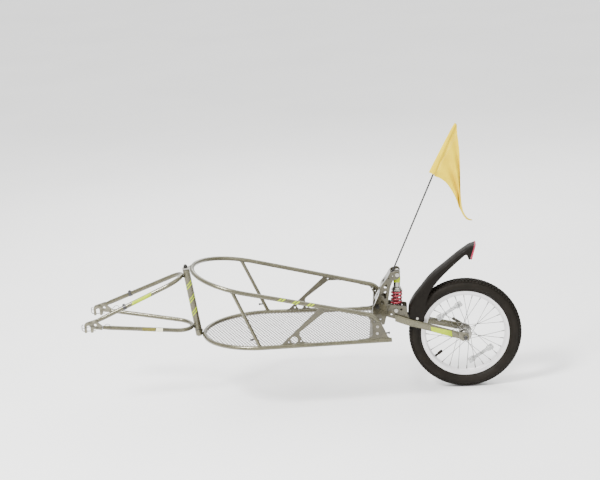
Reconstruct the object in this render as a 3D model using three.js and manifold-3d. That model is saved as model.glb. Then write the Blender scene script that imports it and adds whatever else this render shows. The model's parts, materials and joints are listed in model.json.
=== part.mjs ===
// Single wheel touring trailer with a sprung rear wheel, in millimetres.
// +X points to the rear, +Z up, and -Y is the trailer's left side.
// The origin is the middle of the hitch, on the line of the bike's rear axle.
// The trailer stands as it is ridden, with its bottom rail level.

import * as THREE from 'three';
import { mergeVertices } from 'three/addons/utils/BufferGeometryUtils.js';
import Module from 'manifold-3d';

const wasm = await Module();
wasm.setup();

// Clearance between pieces that touch, and how far a cutter runs past the face it cuts
const gap = 0.3;
const overrun = 4;

// Faces per turn, and steps per rounded corner
const fineSides = 24;
const turnedSides = 16;
const tubeSides = 10;
const wireSides = 8;
const cornerSteps = 3;
const smallCorner = 7;
const seatingSteps = 10;
const smallestEdge = 0.05;

// Wheel: the tyre's front stays clear of the suspension, and the axle lies its radius behind
const tyreFrontX = 1142;
const tyreRadius = 203;
const tyreWidth = 54;
const tyreHeight = 50;
const axleBack = tyreFrontX + tyreRadius;
const axleDrop = 118;
const hubWidth = 100;

// Hitch and yoke
const hitchHalfWidth = 100;
const stayRadius = 7.9;
const stayBendRadius = 60;
const stayTaperShare = 0.16;
const yokeTubeRadius = 12.7;
const yokeTubeWall = 1.9;
const upperStayStart = { x: 34, z: 21.9 };
const lowerStayStart = { x: 50, z: -5 };

// Steering axis: where it crosses the bottom rail's height, its forward lean and its length
const steerFootX = 382.4;
const steerLean = THREE.MathUtils.degToRad(6.6);
const steerTopHeight = 248;
const upperStayHeight = 222.5;
const lowerStayHeight = 28;

// Cargo frame rails
const railRadius = 7.94;
const floorDrop = 73;
const bottomHalfWidth = 203;
const bottomBendReach = 221;
const bottomEndX = 1084;
const topHalfWidth = 197;
const topRearX = 1005;
const topRearZ = 25;
const rearHalfWidth = 178.4;
const topRailReach = 24.5;
const rearBendRadius = 50;
const rearBendAngle = THREE.MathUtils.degToRad(36);
const rearTailLength = 14;

// Pivots of the suspension in the side view
const swingPivot = { x: 1036, z: 4 };
const shockTop = { x: 1112, z: 120 };
const shockFoot = { x: 1102, z: -15 };

const colours = {
  olive: { color: 0x77765f, roughness: 0.42, metalness: 0.55 },
  silver: { color: 0xc3c3c0, roughness: 0.35, metalness: 0.85 },
  steel: { color: 0x9a9a98, roughness: 0.4, metalness: 0.8 },
  black: { color: 0x1d1d1d, roughness: 0.6, metalness: 0.05 },
  rubber: { color: 0x232221, roughness: 0.85, metalness: 0 },
  red: { color: 0xb3202c, roughness: 0.4, metalness: 0.2 },
  lens: { color: 0xa01220, roughness: 0.2, metalness: 0 },
  clear: { color: 0xdadad6, roughness: 0.25, metalness: 0 },
  yellow: { color: 0xe8b62c, roughness: 0.75, metalness: 0 },
  bushing: { color: 0x3a3a38, roughness: 0.5, metalness: 0 },
};

const trailer = new THREE.Group();

// Scene helpers

function addPiece(name, geometry, look, parent = trailer) {
  const mesh = new THREE.Mesh(geometry, new THREE.MeshStandardMaterial(colours[look]));
  mesh.name = name;
  parent.add(mesh);
  return mesh;
}

// Adds the left piece and its mirror image on the right; the geometry is the left one
function addPair(name, leftGeometry, look, parent = trailer) {
  addPiece(`${name}_left`, leftGeometry, look, parent);
  addPiece(`${name}_right`, mirrored(leftGeometry), look, parent);
}

function mirrored(geometry) {
  const copy = bare(geometry).scale(1, -1, 1);
  const index = copy.getIndex().array;
  for (let i = 0; i < index.length; i += 3) [index[i], index[i + 1]] = [index[i + 1], index[i]];
  return copy;
}

// Position-only geometry with its shared corners merged
function bare(geometry) {
  const copy = geometry.clone();
  copy.deleteAttribute('normal');
  copy.deleteAttribute('uv');
  return mergeVertices(copy);
}

// Solid helpers

function solid(geometry) {
  const merged = bare(geometry);
  const mesh = new wasm.Mesh({
    numProp: 3,
    vertProperties: new Float32Array(merged.getAttribute('position').array),
    triVerts: new Uint32Array(merged.getIndex().array),
  });
  return new wasm.Manifold(mesh);
}

function geometryOf(manifold) {
  const mesh = manifold.getMesh();
  const geometry = new THREE.BufferGeometry();
  geometry.setAttribute('position', new THREE.BufferAttribute(new Float32Array(mesh.vertProperties), 3));
  geometry.setIndex(new THREE.BufferAttribute(new Uint32Array(mesh.triVerts), 1));
  return geometry;
}

function cut(geometry, ...cutters) {
  let body = solid(geometry);
  for (const cutter of cutters) body = body.subtract(solid(cutter));
  return geometryOf(body);
}

function join(...geometries) {
  let body = solid(geometries[0]);
  for (const other of geometries.slice(1)) body = body.add(solid(other));
  return geometryOf(body);
}

// Moves a piece along a direction until only the usual gap is left to what it seats on
function seated(geometry, against, direction, reach) {
  const body = solid(geometry);
  let [clear, blocked] = [0, reach];
  for (let i = 0; i < seatingSteps; i += 1) {
    const tried = (clear + blocked) / 2;
    const moved = body.translate(direction.clone().multiplyScalar(tried).toArray());
    if (moved.minGap(against, gap) < gap) blocked = tried;
    else clear = tried;
  }
  const shift = direction.clone().multiplyScalar(clear);
  return geometry.translate(shift.x, shift.y, shift.z);
}

// Closed skin through rings of points that all have the same count, with flat ends
function loft(rings, ringsClose = false) {
  const sides = rings[0].length;
  const positions = rings.flat().flatMap((p) => [p.x, p.y, p.z]);
  const index = [];
  const spans = ringsClose ? rings.length : rings.length - 1;
  for (let i = 0; i < spans; i += 1) {
    const here = i * sides;
    const next = ((i + 1) % rings.length) * sides;
    for (let j = 0; j < sides; j += 1) {
      const k = (j + 1) % sides;
      index.push(here + j, next + j, here + k);
      index.push(here + k, next + j, next + k);
    }
  }
  if (!ringsClose) {
    for (const [start, flip] of [[0, false], [(rings.length - 1) * sides, true]]) {
      for (const [a, b, c] of capTriangles(rings[start / sides])) {
        index.push(start + a, start + (flip ? c : b), start + (flip ? b : c));
      }
    }
  }
  const geometry = new THREE.BufferGeometry();
  geometry.setAttribute('position', new THREE.Float32BufferAttribute(positions, 3));
  geometry.setIndex(index);
  return outward(geometry);
}

// Triangles of a flat ring that need not be convex
function capTriangles(ring) {
  const normal = new THREE.Vector3();
  for (let i = 0; i < ring.length; i += 1) {
    const a = ring[i];
    const b = ring[(i + 1) % ring.length];
    normal.add(new THREE.Vector3().crossVectors(a, b));
  }
  normal.normalize();
  const across = ring[1].clone().sub(ring[0]).normalize();
  const up = new THREE.Vector3().crossVectors(normal, across);
  const flat = ring.map((p) => new THREE.Vector2(p.dot(across), p.dot(up)));
  const turn = Math.sign(THREE.ShapeUtils.area(flat));
  return THREE.ShapeUtils.triangulateShape(flat, []).map(([a, b, c]) => {
    const same = Math.sign(THREE.ShapeUtils.area([flat[a], flat[b], flat[c]])) === turn;
    return same ? [a, b, c] : [a, c, b];
  });
}

function outward(geometry) {
  const p = geometry.getAttribute('position');
  const index = geometry.getIndex().array;
  const [a, b, c] = [new THREE.Vector3(), new THREE.Vector3(), new THREE.Vector3()];
  let volume = 0;
  for (let i = 0; i < index.length; i += 3) {
    a.fromBufferAttribute(p, index[i]);
    b.fromBufferAttribute(p, index[i + 1]);
    c.fromBufferAttribute(p, index[i + 2]);
    volume += a.dot(b.cross(c));
  }
  if (volume < 0) {
    for (let i = 0; i < index.length; i += 3) [index[i], index[i + 1]] = [index[i + 1], index[i]];
  }
  return geometry;
}

// Shape helpers: outlines are lists of [x, z] or [x, z, corner radius]

function roundedOutline(corners) {
  const outline = [];
  const count = corners.length;
  corners.forEach(([x, z, radius = 0], i) => {
    const corner = new THREE.Vector2(x, z);
    if (radius === 0) {
      outline.push(corner);
      return;
    }
    const [bx, bz] = corners[(i + count - 1) % count];
    const [ax, az] = corners[(i + 1) % count];
    outline.push(...cornerArc(new THREE.Vector2(bx, bz), corner, new THREE.Vector2(ax, az), radius));
  });
  return outline.filter((p, i) => p.distanceTo(outline[(i + 1) % outline.length]) > smallestEdge);
}

function cornerArc(before, corner, after, radius) {
  const back = before.clone().sub(corner);
  const on = after.clone().sub(corner);
  const half = Math.acos(back.dot(on) / back.length() / on.length()) / 2;
  const reach = Math.min(radius / Math.tan(half), back.length() / 2, on.length() / 2);
  const fitted = reach * Math.tan(half);
  const middle = back.clone().normalize().add(on.clone().normalize()).normalize();
  const centre = corner.clone().addScaledVector(middle, fitted / Math.sin(half));
  const start = corner.clone().addScaledVector(back.normalize(), reach).sub(centre);
  const end = corner.clone().addScaledVector(on.normalize(), reach).sub(centre);
  const sweep = Math.atan2(start.cross(end), start.dot(end));
  const arc = [];
  const steps = fitted < smallCorner ? cornerSteps - 1 : cornerSteps;
  for (let i = 0; i <= steps; i += 1) {
    const origin = new THREE.Vector2(0, 0);
    arc.push(start.clone().rotateAround(origin, (sweep * i) / steps).add(centre));
  }
  return arc;
}

// Corners given as shares of a box that starts at x, z; a third number stays a radius in mm
function placed(shares, box) {
  return shares.map(([u, v, radius]) => [box.x + u * box.length, box.z + v * box.height, radius]);
}

function circle(x, z, radius, sides = tubeSides) {
  const ring = [];
  for (let i = 0; i < sides; i += 1) {
    const a = (2 * Math.PI * i) / sides;
    ring.push(new THREE.Vector2(x + radius * Math.cos(a), z + radius * Math.sin(a)));
  }
  return ring;
}

// Slab over an outline in X and Y, standing on z = 0
function slab(outline, depth, holes = []) {
  const ring = THREE.ShapeUtils.isClockWise(outline) ? [...outline].reverse() : outline;
  const shape = new THREE.Shape(ring);
  shape.holes = holes.map((hole) => new THREE.Path(hole));
  return new THREE.ExtrudeGeometry(shape, { depth, bevelEnabled: false });
}

// Flat plate in the side view, from y to y + thickness
function plate(outline, y, thickness, holes = []) {
  return slab(outline, thickness, holes).rotateX(Math.PI / 2).translate(0, y + thickness, 0);
}

// Curve that passes through its points in a straight line from each to the next
class Route extends THREE.Curve {
  constructor(points) {
    super();
    this.points = points;
  }

  getPoint(t, target = new THREE.Vector3()) {
    const place = t * (this.points.length - 1);
    const i = Math.min(Math.floor(place), this.points.length - 2);
    return target.copy(this.points[i]).lerp(this.points[i + 1], place - i);
  }

  getPointAt(u, target) {
    return this.getPoint(u, target);
  }

  getTangentAt(u, target = new THREE.Vector3()) {
    const i = Math.round(u * (this.points.length - 1));
    const before = this.points[Math.max(i - 1, 0)];
    const after = this.points[Math.min(i + 1, this.points.length - 1)];
    return target.copy(after).sub(before).normalize();
  }

  getSpacedPoints() {
    return this.points.map((p) => p.clone());
  }
}

function tube(points, radius, sides = tubeSides) {
  const section = new THREE.Shape(circle(0, 0, radius, sides));
  const extrudePath = new Route(points);
  return new THREE.ExtrudeGeometry(section, { steps: points.length - 1, extrudePath });
}

// Ring of revolution round Y: the profile is a closed list of [radius, y]
function ringAboutY(profile, sides = turnedSides) {
  const closed = [...profile, profile[0]].map(([r, y]) => new THREE.Vector2(r, y));
  return outward(bare(new THREE.LatheGeometry(closed, sides)));
}

// Same round Z: the profile is a closed list of [radius, z]
function ringAboutZ(profile, sides = turnedSides) {
  return ringAboutY(profile, sides).rotateX(Math.PI / 2);
}

// Solid of revolution round Z whose profile starts and ends on the axis
function shaftAboutZ(profile, sides = turnedSides) {
  const points = profile.map(([r, z]) => new THREE.Vector2(r, z));
  return outward(bare(new THREE.LatheGeometry(points, sides))).rotateX(Math.PI / 2);
}

function shaftAboutY(profile, sides = turnedSides) {
  const points = profile.map(([r, y]) => new THREE.Vector2(r, y));
  return outward(bare(new THREE.LatheGeometry(points, sides)));
}

function rodY(x, z, radius, y0, y1, sides = tubeSides) {
  return shaftAboutY([[0, y0], [radius, y0], [radius, y1], [0, y1]], sides).translate(x, 0, z);
}

function vec(x, y, z) {
  return new THREE.Vector3(x, y, z);
}

// Centre line of a U-bent tube in its own plane, as [along, across] from one end to the other.
// The bend is an ellipse whose tip lies at tipAlong; the legs run straight and tangent to it.
function hairpin({ tipAlong, bendReach, bendHalfWidth, endAlong, endAcross, steps }) {
  const side = Math.sign(endAlong - tipAlong);
  const centre = tipAlong + side * bendReach;
  const squash = bendReach / bendHalfWidth;
  const legReach = ((endAlong - centre) * side) / squash;
  const distance = Math.hypot(legReach, endAcross);
  const first = Math.atan2(endAcross, legReach) + Math.acos(bendHalfWidth / distance);
  const line = [[endAlong, endAcross]];
  for (let i = 0; i <= steps; i += 1) {
    const a = first + ((2 * Math.PI - 2 * first) * i) / steps;
    line.push([centre + side * squash * bendHalfWidth * Math.cos(a), bendHalfWidth * Math.sin(a)]);
  }
  line.push([endAlong, -endAcross]);
  return line;
}

// Steering axis

const steerGroup = new THREE.Group();
steerGroup.position.set(steerFootX, 0, -floorDrop);
steerGroup.rotation.y = -steerLean;
trailer.add(steerGroup);

function onSteer(reach, height) {
  const x = steerFootX + reach * Math.cos(steerLean) - height * Math.sin(steerLean);
  const z = -floorDrop + reach * Math.sin(steerLean) + height * Math.cos(steerLean);
  return vec(x, 0, z);
}

const collarRadius = 13.2;
const collarBottom = -8;
const collarTop = 13;
const bushingFlange = 2;
const bushingDepth = 16;
const lugThickness = 5;
const pivotPinRadius = 6;
const pinCapRadius = 7.4;
const pinCapHeight = 11;
const pivotNutRadius = 9;
const pivotNutHeight = 4;
const pinCapDomeShare = 0.55;
const lugRadius = 13;
const lugBottom = steerTopHeight - lugThickness / 2;
const yokeTubeBottom = collarTop + bushingFlange + 2 * gap;
const yokeTubeTop = lugBottom - bushingFlange - 2 * gap;
const topRailTip = onSteer(topRailReach, steerTopHeight);
const bottomRailTipX = steerFootX + (collarRadius + railRadius + gap) / Math.cos(steerLean);

// Rails

const railSlope = (topRearZ - topRailTip.z) / (topRearX - topRailTip.x);
const railBendSteps = 22;
const rearBendSteps = 4;

function topRailHeight(x) {
  return topRailTip.z + (x - topRailTip.x) * railSlope;
}

// The rear end of a top rail leg bends down towards the bottom rail
function rearTail(across) {
  const tail = [];
  const start = Math.atan(railSlope);
  for (let i = 1; i <= rearBendSteps; i += 1) {
    const turned = (rearBendAngle * i) / rearBendSteps;
    const x = topRearX + rearBendRadius * (Math.sin(turned - start) + Math.sin(start));
    const z = topRearZ - rearBendRadius * (Math.cos(start) - Math.cos(turned - start));
    tail.push(vec(x, across, z));
  }
  const end = tail[tail.length - 1];
  const fall = rearBendAngle - start;
  tail.push(vec(end.x + rearTailLength * Math.cos(fall), across, end.z - rearTailLength * Math.sin(fall)));
  return tail;
}

const topRailLine = hairpin({
  tipAlong: topRailTip.x,
  bendReach: topHalfWidth,
  bendHalfWidth: topHalfWidth,
  endAlong: topRearX,
  endAcross: rearHalfWidth,
  steps: railBendSteps,
}).map(([x, y]) => vec(x, y, topRailHeight(x)));
topRailLine.unshift(...rearTail(rearHalfWidth).reverse());
topRailLine.push(...rearTail(-rearHalfWidth));

const bottomRailLine = hairpin({
  tipAlong: bottomRailTipX,
  bendReach: bottomBendReach,
  bendHalfWidth: bottomHalfWidth,
  endAlong: bottomEndX,
  endAcross: rearHalfWidth,
  steps: railBendSteps,
}).map(([x, y]) => vec(x, y, -floorDrop));

function lengthened(line, reach) {
  const [first, second] = line;
  const [last, beforeLast] = [line[line.length - 1], line[line.length - 2]];
  const before = first.clone().sub(second).setLength(reach).add(first);
  const after = last.clone().sub(beforeLast).setLength(reach).add(last);
  return [before, ...line.slice(1, -1), after];
}

// Half width of a rail's centre line at x, read along its own points
function halfWidthAt(line, x) {
  for (let i = 0; i < line.length - 1; i += 1) {
    const [a, b] = [line[i], line[i + 1]];
    if (a.y > 0 && a.x >= x && b.x <= x) return a.y + ((b.y - a.y) * (a.x - x)) / (a.x - b.x);
  }
  return 0;
}

const topRail = tube(topRailLine, railRadius);
const bottomRail = tube(bottomRailLine, railRadius);
const topRailCutter = tube(lengthened(topRailLine, gap), railRadius + gap);
const bottomRailCutter = tube(lengthened(bottomRailLine, overrun), railRadius + gap);

function addRails() {
  addPiece('top_rail', topRail, 'olive');
  addPiece('bottom_rail', bottomRail, 'olive');
}

// Yoke

const stayBendSteps = 10;

function stayLine(start, tipHeight) {
  const tip = onSteer(-(yokeTubeRadius + stayRadius + gap), tipHeight);
  const slope = (tip.z - start.z) / (tip.x - start.x);
  const line = hairpin({
    tipAlong: tip.x,
    bendReach: stayBendRadius,
    bendHalfWidth: stayBendRadius,
    endAlong: start.x,
    endAcross: hitchHalfWidth - start.x * stayTaperShare / 2,
    steps: stayBendSteps,
  });
  return line.map(([x, y]) => vec(x, y, start.z + (x - start.x) * slope));
}

const upperStayLine = stayLine(upperStayStart, upperStayHeight);
const lowerStayLine = stayLine(lowerStayStart, lowerStayHeight);

function addYoke() {
  const inner = yokeTubeRadius - yokeTubeWall;
  const wall = [
    [inner, yokeTubeBottom],
    [yokeTubeRadius, yokeTubeBottom],
    [yokeTubeRadius, yokeTubeTop],
    [inner, yokeTubeTop],
  ];
  addPiece('yoke_tube', ringAboutZ(wall, fineSides), 'olive', steerGroup);
  addPiece('yoke_upper_loop', tube(upperStayLine, stayRadius), 'olive');
  addPiece('yoke_lower_loop', tube(lowerStayLine, stayRadius), 'olive');
  const low = steeringBushing(inner - gap, collarTop + gap, 1);
  const high = steeringBushing(inner - gap, lugBottom - gap, -1);
  addPiece('steering_bushing_lower', low, 'bushing', steerGroup);
  addPiece('steering_bushing_upper', high, 'bushing', steerGroup);
}

// Flanged bushing that sits in an end of the yoke tube; towards is +1 when its depth runs up
function steeringBushing(outer, face, towards) {
  const inner = pivotPinRadius + gap;
  const step = face + towards * bushingFlange;
  const end = face + towards * bushingDepth;
  return outward(ringAboutZ([
    [inner, face],
    [yokeTubeRadius, face],
    [yokeTubeRadius, step],
    [outer, step],
    [outer, end],
    [inner, end],
  ]));
}

// Hitch dropouts: an open slot drops over the axle, and two tabs carry the stays
const hitch = {
  thickness: 6,
  slotHalfWidth: 6.6,
  archHalfWidth: 15.5,
  legDrop: 21,
  archRadius: 13,
  footRadius: 2,
  tabHalfWidth: 7.5,
  webHoleRadius: 5,
  webHole: { x: 25, z: 7 },
  pinHeight: -14.5,
  pinHoleRadius: 2,
  neck: { x: 19, z: -8 },
};

function tabEnds(start, line) {
  const on = line[1].clone().sub(line[0]);
  const length = Math.hypot(on.x, on.z);
  const [nx, nz] = [-on.z / length, on.x / length];
  const x = start.x - gap;
  const w = hitch.tabHalfWidth;
  return [[x + nx * w, start.z + nz * w], [x - nx * w, start.z - nz * w]];
}

function hitchDropout() {
  const [upperTop, upperLow] = tabEnds(upperStayStart, upperStayLine);
  const [lowerTop, lowerLow] = tabEnds(lowerStayStart, lowerStayLine);
  const half = hitch.archHalfWidth;
  const slot = hitch.slotHalfWidth;
  const outline = roundedOutline([
    [-slot, -hitch.legDrop, hitch.footRadius],
    [-half, -hitch.legDrop, hitch.footRadius],
    [-half, half, hitch.archRadius],
    upperTop,
    upperLow,
    lowerTop,
    lowerLow,
    [hitch.neck.x, hitch.neck.z, hitch.footRadius],
    [half, -hitch.legDrop, hitch.footRadius],
    [slot, -hitch.legDrop, hitch.footRadius],
    [slot, slot, slot],
    [-slot, slot, slot],
  ]);
  const hole = circle(hitch.webHole.x, hitch.webHole.z, hitch.webHoleRadius);
  const y = -hitchHalfWidth - hitch.thickness / 2;
  const body = plate(outline, y, hitch.thickness, [hole]);
  const reach = half + overrun;
  const drill = tube(
    [vec(-reach, -hitchHalfWidth, hitch.pinHeight), vec(reach, -hitchHalfWidth, hitch.pinHeight)],
    hitch.pinHoleRadius,
    wireSides,
  );
  return cut(body, drill);
}

// Retaining pin: a wire whose straight leg closes the slot and whose end hooks up in front
const pin = { radius: 1.5, tail: 24, bend: 7, hookRise: 18, hookBend: 6 };

function arcPoints(centre, radius, from, to, y, steps = cornerSteps) {
  const arc = [];
  for (let i = 0; i <= steps; i += 1) {
    const a = from + ((to - from) * i) / steps;
    arc.push(vec(centre[0] + radius * Math.cos(a), y, centre[1] + radius * Math.sin(a)));
  }
  return arc;
}

const pinFrontX = -hitch.archHalfWidth - pin.radius - gap;

function retainingPin() {
  const y = -hitchHalfWidth;
  const z = hitch.pinHeight;
  const hookX = pinFrontX - pin.bend;
  const quarter = Math.PI / 2;
  const points = [
    vec(pin.tail, y, z),
    ...arcPoints([pinFrontX, z + pin.bend], pin.bend, -quarter, -2 * quarter, y),
    ...arcPoints([hookX + pin.hookBend, z + pin.hookRise], pin.hookBend, 2 * quarter, quarter, y),
  ];
  return tube(points, pin.radius, wireSides);
}

// Wire tether from the pin's hook to the side of the lower stay
const tether = { radius: 1, steps: 12, seatShare: 0.11, tail: { back: 2, out: 2, rise: 5 } };
const tetherSag = [
  { x: -16, out: 6.5, z: -2 },
  { x: 0, out: 7.5, z: 3 },
  { x: 22, out: 7, z: 2 },
  { x: 40, out: 6, z: -4 },
  { x: 56, out: 6, z: 2 },
  { x: 66, out: 6.5, z: 10 },
  { x: 76, out: 6, z: 9 },
];

function tetherRoute() {
  const beside = pin.radius + tether.radius + gap;
  const stay = lowerStayLine[lowerStayLine.length - 2];
  const foot = lowerStayLine[lowerStayLine.length - 1];
  const seat = foot.clone().lerp(stay, tether.seatShare);
  const seatY = seat.y - stayRadius - tether.radius - gap;
  const { back, out, rise } = tether.tail;
  return new THREE.CatmullRomCurve3([
    vec(pinFrontX - pin.bend, -hitchHalfWidth - beside, hitch.pinHeight + pin.hookRise / 2),
    ...tetherSag.map((sag) => vec(sag.x, -hitchHalfWidth - sag.out, sag.z)),
    vec(seat.x + back, seatY - out, seat.z + rise),
    vec(seat.x, seatY, seat.z),
  ]);
}

function addHitch() {
  addPair('hitch_dropout', hitchDropout(), 'silver');
  addPair('retaining_pin', retainingPin(), 'steel');
  addPair('pin_tether', tube(tetherRoute().getPoints(tether.steps), tether.radius, wireSides), 'black');
}

// Steering joint on the cargo frame's side

function addSteeringJoint() {
  const bore = pivotPinRadius + gap;
  const lugLength = topRailReach - railRadius + railRadius / 2;
  const lugOutline = [
    ...circle(0, 0, lugRadius, turnedSides).filter((p) => p.x <= 0),
    new THREE.Vector2(lugLength, -lugRadius),
    new THREE.Vector2(lugLength, lugRadius),
  ];
  const lug = slab(lugOutline, lugThickness, [circle(0, 0, bore, turnedSides)]);
  lug.translate(0, 0, lugBottom);
  const railHere = topRailCutter.clone().translate(-steerFootX, 0, floorDrop).rotateY(steerLean);
  addPiece('upper_pivot_lug', cut(lug, railHere), 'silver', steerGroup);
  const collar = [
    [bore, collarBottom],
    [collarRadius, collarBottom],
    [collarRadius, collarTop],
    [bore, collarTop],
  ];
  addPiece('lower_pivot_collar', ringAboutZ(collar), 'olive', steerGroup);
  const pinTop = lugBottom + lugThickness + gap;
  const pinEnd = collarBottom - pivotNutHeight - 2 * gap;
  const pinProfile = [
    [0, pinEnd],
    [pivotPinRadius, pinEnd],
    [pivotPinRadius, pinTop],
    [pinCapRadius, pinTop],
    [pinCapRadius, pinTop + pinCapHeight * pinCapDomeShare],
    [pinCapRadius / 2, pinTop + pinCapHeight],
    [0, pinTop + pinCapHeight],
  ];
  addPiece('pivot_pin', shaftAboutZ(pinProfile), 'black', steerGroup);
  const hexSides = 6;
  const nut = slab(circle(0, 0, pivotNutRadius, hexSides), pivotNutHeight, [circle(0, 0, bore, turnedSides)]);
  nut.translate(0, 0, collarBottom - gap - pivotNutHeight);
  addPiece('pivot_nut', nut, 'steel', steerGroup);
}

// Struts and bag hooks

const strut = { radius: 6.35, topX: 535, footX: 622 };
const hook = { radius: 2.4, length: 14, headRadius: 4, headLength: 3, drop: 32 };

const strutTop = vec(strut.topX, -halfWidthAt(topRailLine, strut.topX), topRailHeight(strut.topX));
const strutFoot = vec(strut.footX, -halfWidthAt(bottomRailLine, strut.footX), -floorDrop);

function hookGeometry() {
  const profile = [
    [0, 0],
    [hook.radius, 0],
    [hook.radius, hook.length],
    [hook.headRadius, hook.length],
    [hook.headRadius, hook.length + hook.headLength],
    [0, hook.length + hook.headLength],
  ];
  return shaftAboutZ(profile, wireSides);
}

function strutHook() {
  const share = hook.drop / (strutTop.z - strutFoot.z);
  const seat = strutFoot.clone().lerp(strutTop, share);
  const forward = hookGeometry().rotateY(-Math.PI / 2);
  return forward.translate(seat.x - strut.radius / 2, seat.y, seat.z);
}

function addStruts() {
  const body = join(tube([strutTop, strutFoot], strut.radius), strutHook());
  addPair('front_strut', cut(body, topRailCutter, bottomRailCutter), 'olive');
}

// Side braces: one cut plate a side, with a gusset at each rail and a slim arm between

const sidePlate = { thickness: 4 };
const brace = {
  footX: 688,
  length: 215,
  headShare: 0.72,
  bigHole: 12.5,
  smallHole: 3.4,
  topHole: 2.8,
};
const braceShares = [
  [1, 0.845],
  [0.77, 0.845, 14],
  [0.325, 0.335, 16],
  [0.4, 0.085, 14],
  [0.53, 0.045],
  [0.53, 0],
  [0, 0],
];
const braceBigHoleShares = [0.252, 0.155];
const braceSmallHoleShares = [[0.158, 0.108], [0.366, 0.112]];
const braceTopHoleShares = [0.762, 0.895];
const braceHeadX = brace.footX + brace.headShare * brace.length;
const braceBox = {
  x: brace.footX,
  z: -floorDrop,
  length: brace.length,
  height: topRailHeight(braceHeadX) + floorDrop,
};

// The side plates stand in the rails' own plane, so they turn with the rails' taper
function inRailPlane(geometry) {
  const angle = Math.atan((sideY(topRearX) - sideY(brace.footX)) / (topRearX - brace.footX));
  return geometry.translate(-brace.footX, 0, 0).rotateZ(angle).translate(brace.footX, sideY(brace.footX), 0);
}

// Middle of the left side plates at x: a straight line between the rails' mean half widths
function sideY(x) {
  const mean = (at) => (halfWidthAt(topRailLine, at) + halfWidthAt(bottomRailLine, at)) / 2;
  const share = (x - brace.footX) / (topRearX - brace.footX);
  return -(mean(brace.footX) + share * (mean(topRearX) - mean(brace.footX)));
}

function onBox(box, [u, v]) {
  return [box.x + u * box.length, box.z + v * box.height];
}

function addBraces() {
  const tail = brace.footX + brace.length;
  const head = [[braceHeadX, topRailHeight(braceHeadX)], [tail, topRailHeight(tail)]];
  const outline = roundedOutline([...head, ...placed(braceShares, braceBox)]);
  const holes = [
    circle(...onBox(braceBox, braceBigHoleShares), brace.bigHole, turnedSides),
    ...braceSmallHoleShares.map((share) => circle(...onBox(braceBox, share), brace.smallHole, wireSides)),
    circle(...onBox(braceBox, braceTopHoleShares), brace.topHole, wireSides),
  ];
  const flat = plate(outline, -sidePlate.thickness / 2, sidePlate.thickness, holes);
  addPair('side_brace', cut(inRailPlane(flat), topRailCutter, bottomRailCutter), 'olive');
}

// Rear panels: they close the cargo frame's sides at the back, round a big window's end

const panel = { frontX: 962, length: 122, smallHole: 2.4, holeRadius: 3.2 };
const panelShares = [
  [0.71, 0.62, 4],
  [0.81, 0.36, 30],
  [0.9, 0.1, 6],
  [1, 0.05],
  [1, 0],
  [0, 0],
  [0, 0.06],
  [0.42, 0.115, 24],
  [0.535, 0.37, 26],
  [0.36, 0.83, 18],
  [0, 0.97],
];
const panelHoleShares = [[0.52, 0.65], [0.43, 0.735]];
const panelBox = { x: panel.frontX, z: -floorDrop, length: panel.length, height: 108 };
const rearHookSeat = { x: 1060, z: -47 };

function addRearPanels() {
  const rail = [[panel.frontX, topRailHeight(panel.frontX)], [topRearX, topRearZ]];
  rail.push(...rearTail(0).map((p) => [p.x, p.z]));
  const outline = roundedOutline([...rail, ...placed(panelShares, panelBox)]);
  const holes = panelHoleShares.map((share) => {
    return circle(...onBox(panelBox, share), panel.smallHole, wireSides);
  });
  const flat = plate(outline, -sidePlate.thickness / 2, sidePlate.thickness, holes);
  const rearHook = hookGeometry().rotateY(Math.PI / 2).translate(rearHookSeat.x, 0, rearHookSeat.z);
  const body = inRailPlane(join(flat, rearHook));
  addPair('rear_panel', cut(body, topRailCutter, bottomRailCutter), 'olive');
}

// Floor: a flat net of expanded metal inside the bottom rail

const floor = { thickness: 2, rim: 7, cellLength: 42, cellWidth: 86, strand: 3.8, rearX: 1016 };

function floorOutline(inset) {
  const reach = railRadius + gap + inset;
  const half = bottomRailLine.filter((p) => p.y >= 0 && p.x <= floor.rearX - inset);
  const ring = [];
  const rearHalf = halfWidthAt(bottomRailLine, floor.rearX - inset);
  ring.push(new THREE.Vector2(floor.rearX - inset, rearHalf - reach));
  for (const p of half) {
    const towards = new THREE.Vector2(bottomRailTipX + bottomBendReach - p.x, -p.y);
    if (towards.x < 0) towards.x = 0;
    towards.normalize().multiplyScalar(reach);
    ring.push(new THREE.Vector2(p.x + towards.x, Math.max(p.y + towards.y, 0)));
  }
  const mirror = ring.filter((p) => p.y > 0).map((p) => new THREE.Vector2(p.x, -p.y)).reverse();
  return [...ring, ...mirror];
}

function floorSlab(outline, thickness) {
  return slab(outline, thickness).translate(0, 0, -floorDrop - thickness / 2);
}

// Diamond gaps in two staggered families, kept where their middle lies well inside the rim
function floorGaps() {
  const cells = [];
  const [dx, dy] = [floor.cellLength / 2, floor.cellWidth / 2];
  const inner = floorOutline(floor.rim);
  const diagonal = Math.hypot(dx, dy);
  const [hx, hy] = [dx - (floor.strand * diagonal) / dy / 2, dy - (floor.strand * diagonal) / dx / 2];
  const columns = Math.ceil((floor.rearX - bottomRailTipX) / dx);
  const rows = Math.ceil(bottomHalfWidth / dy);
  for (let i = 0; i <= columns; i += 1) {
    for (let j = -rows; j <= rows; j += 1) {
      if ((i + j + rows) % 2 !== 0) continue;
      const [x, y] = [floor.rearX - floor.rim - i * dx, j * dy];
      if (!insideOutline(inner, x, y)) continue;
      const corners = [[x - hx, y], [x, y - hy], [x + hx, y], [x, y + hy]];
      const outline = corners.map(([a, b]) => new THREE.Vector2(a, b));
      cells.push(slab(outline, floor.thickness + 2 * overrun));
    }
  }
  const height = -floorDrop - floor.thickness / 2 - overrun;
  return cells.map((cell) => cell.translate(0, 0, height));
}

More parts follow.
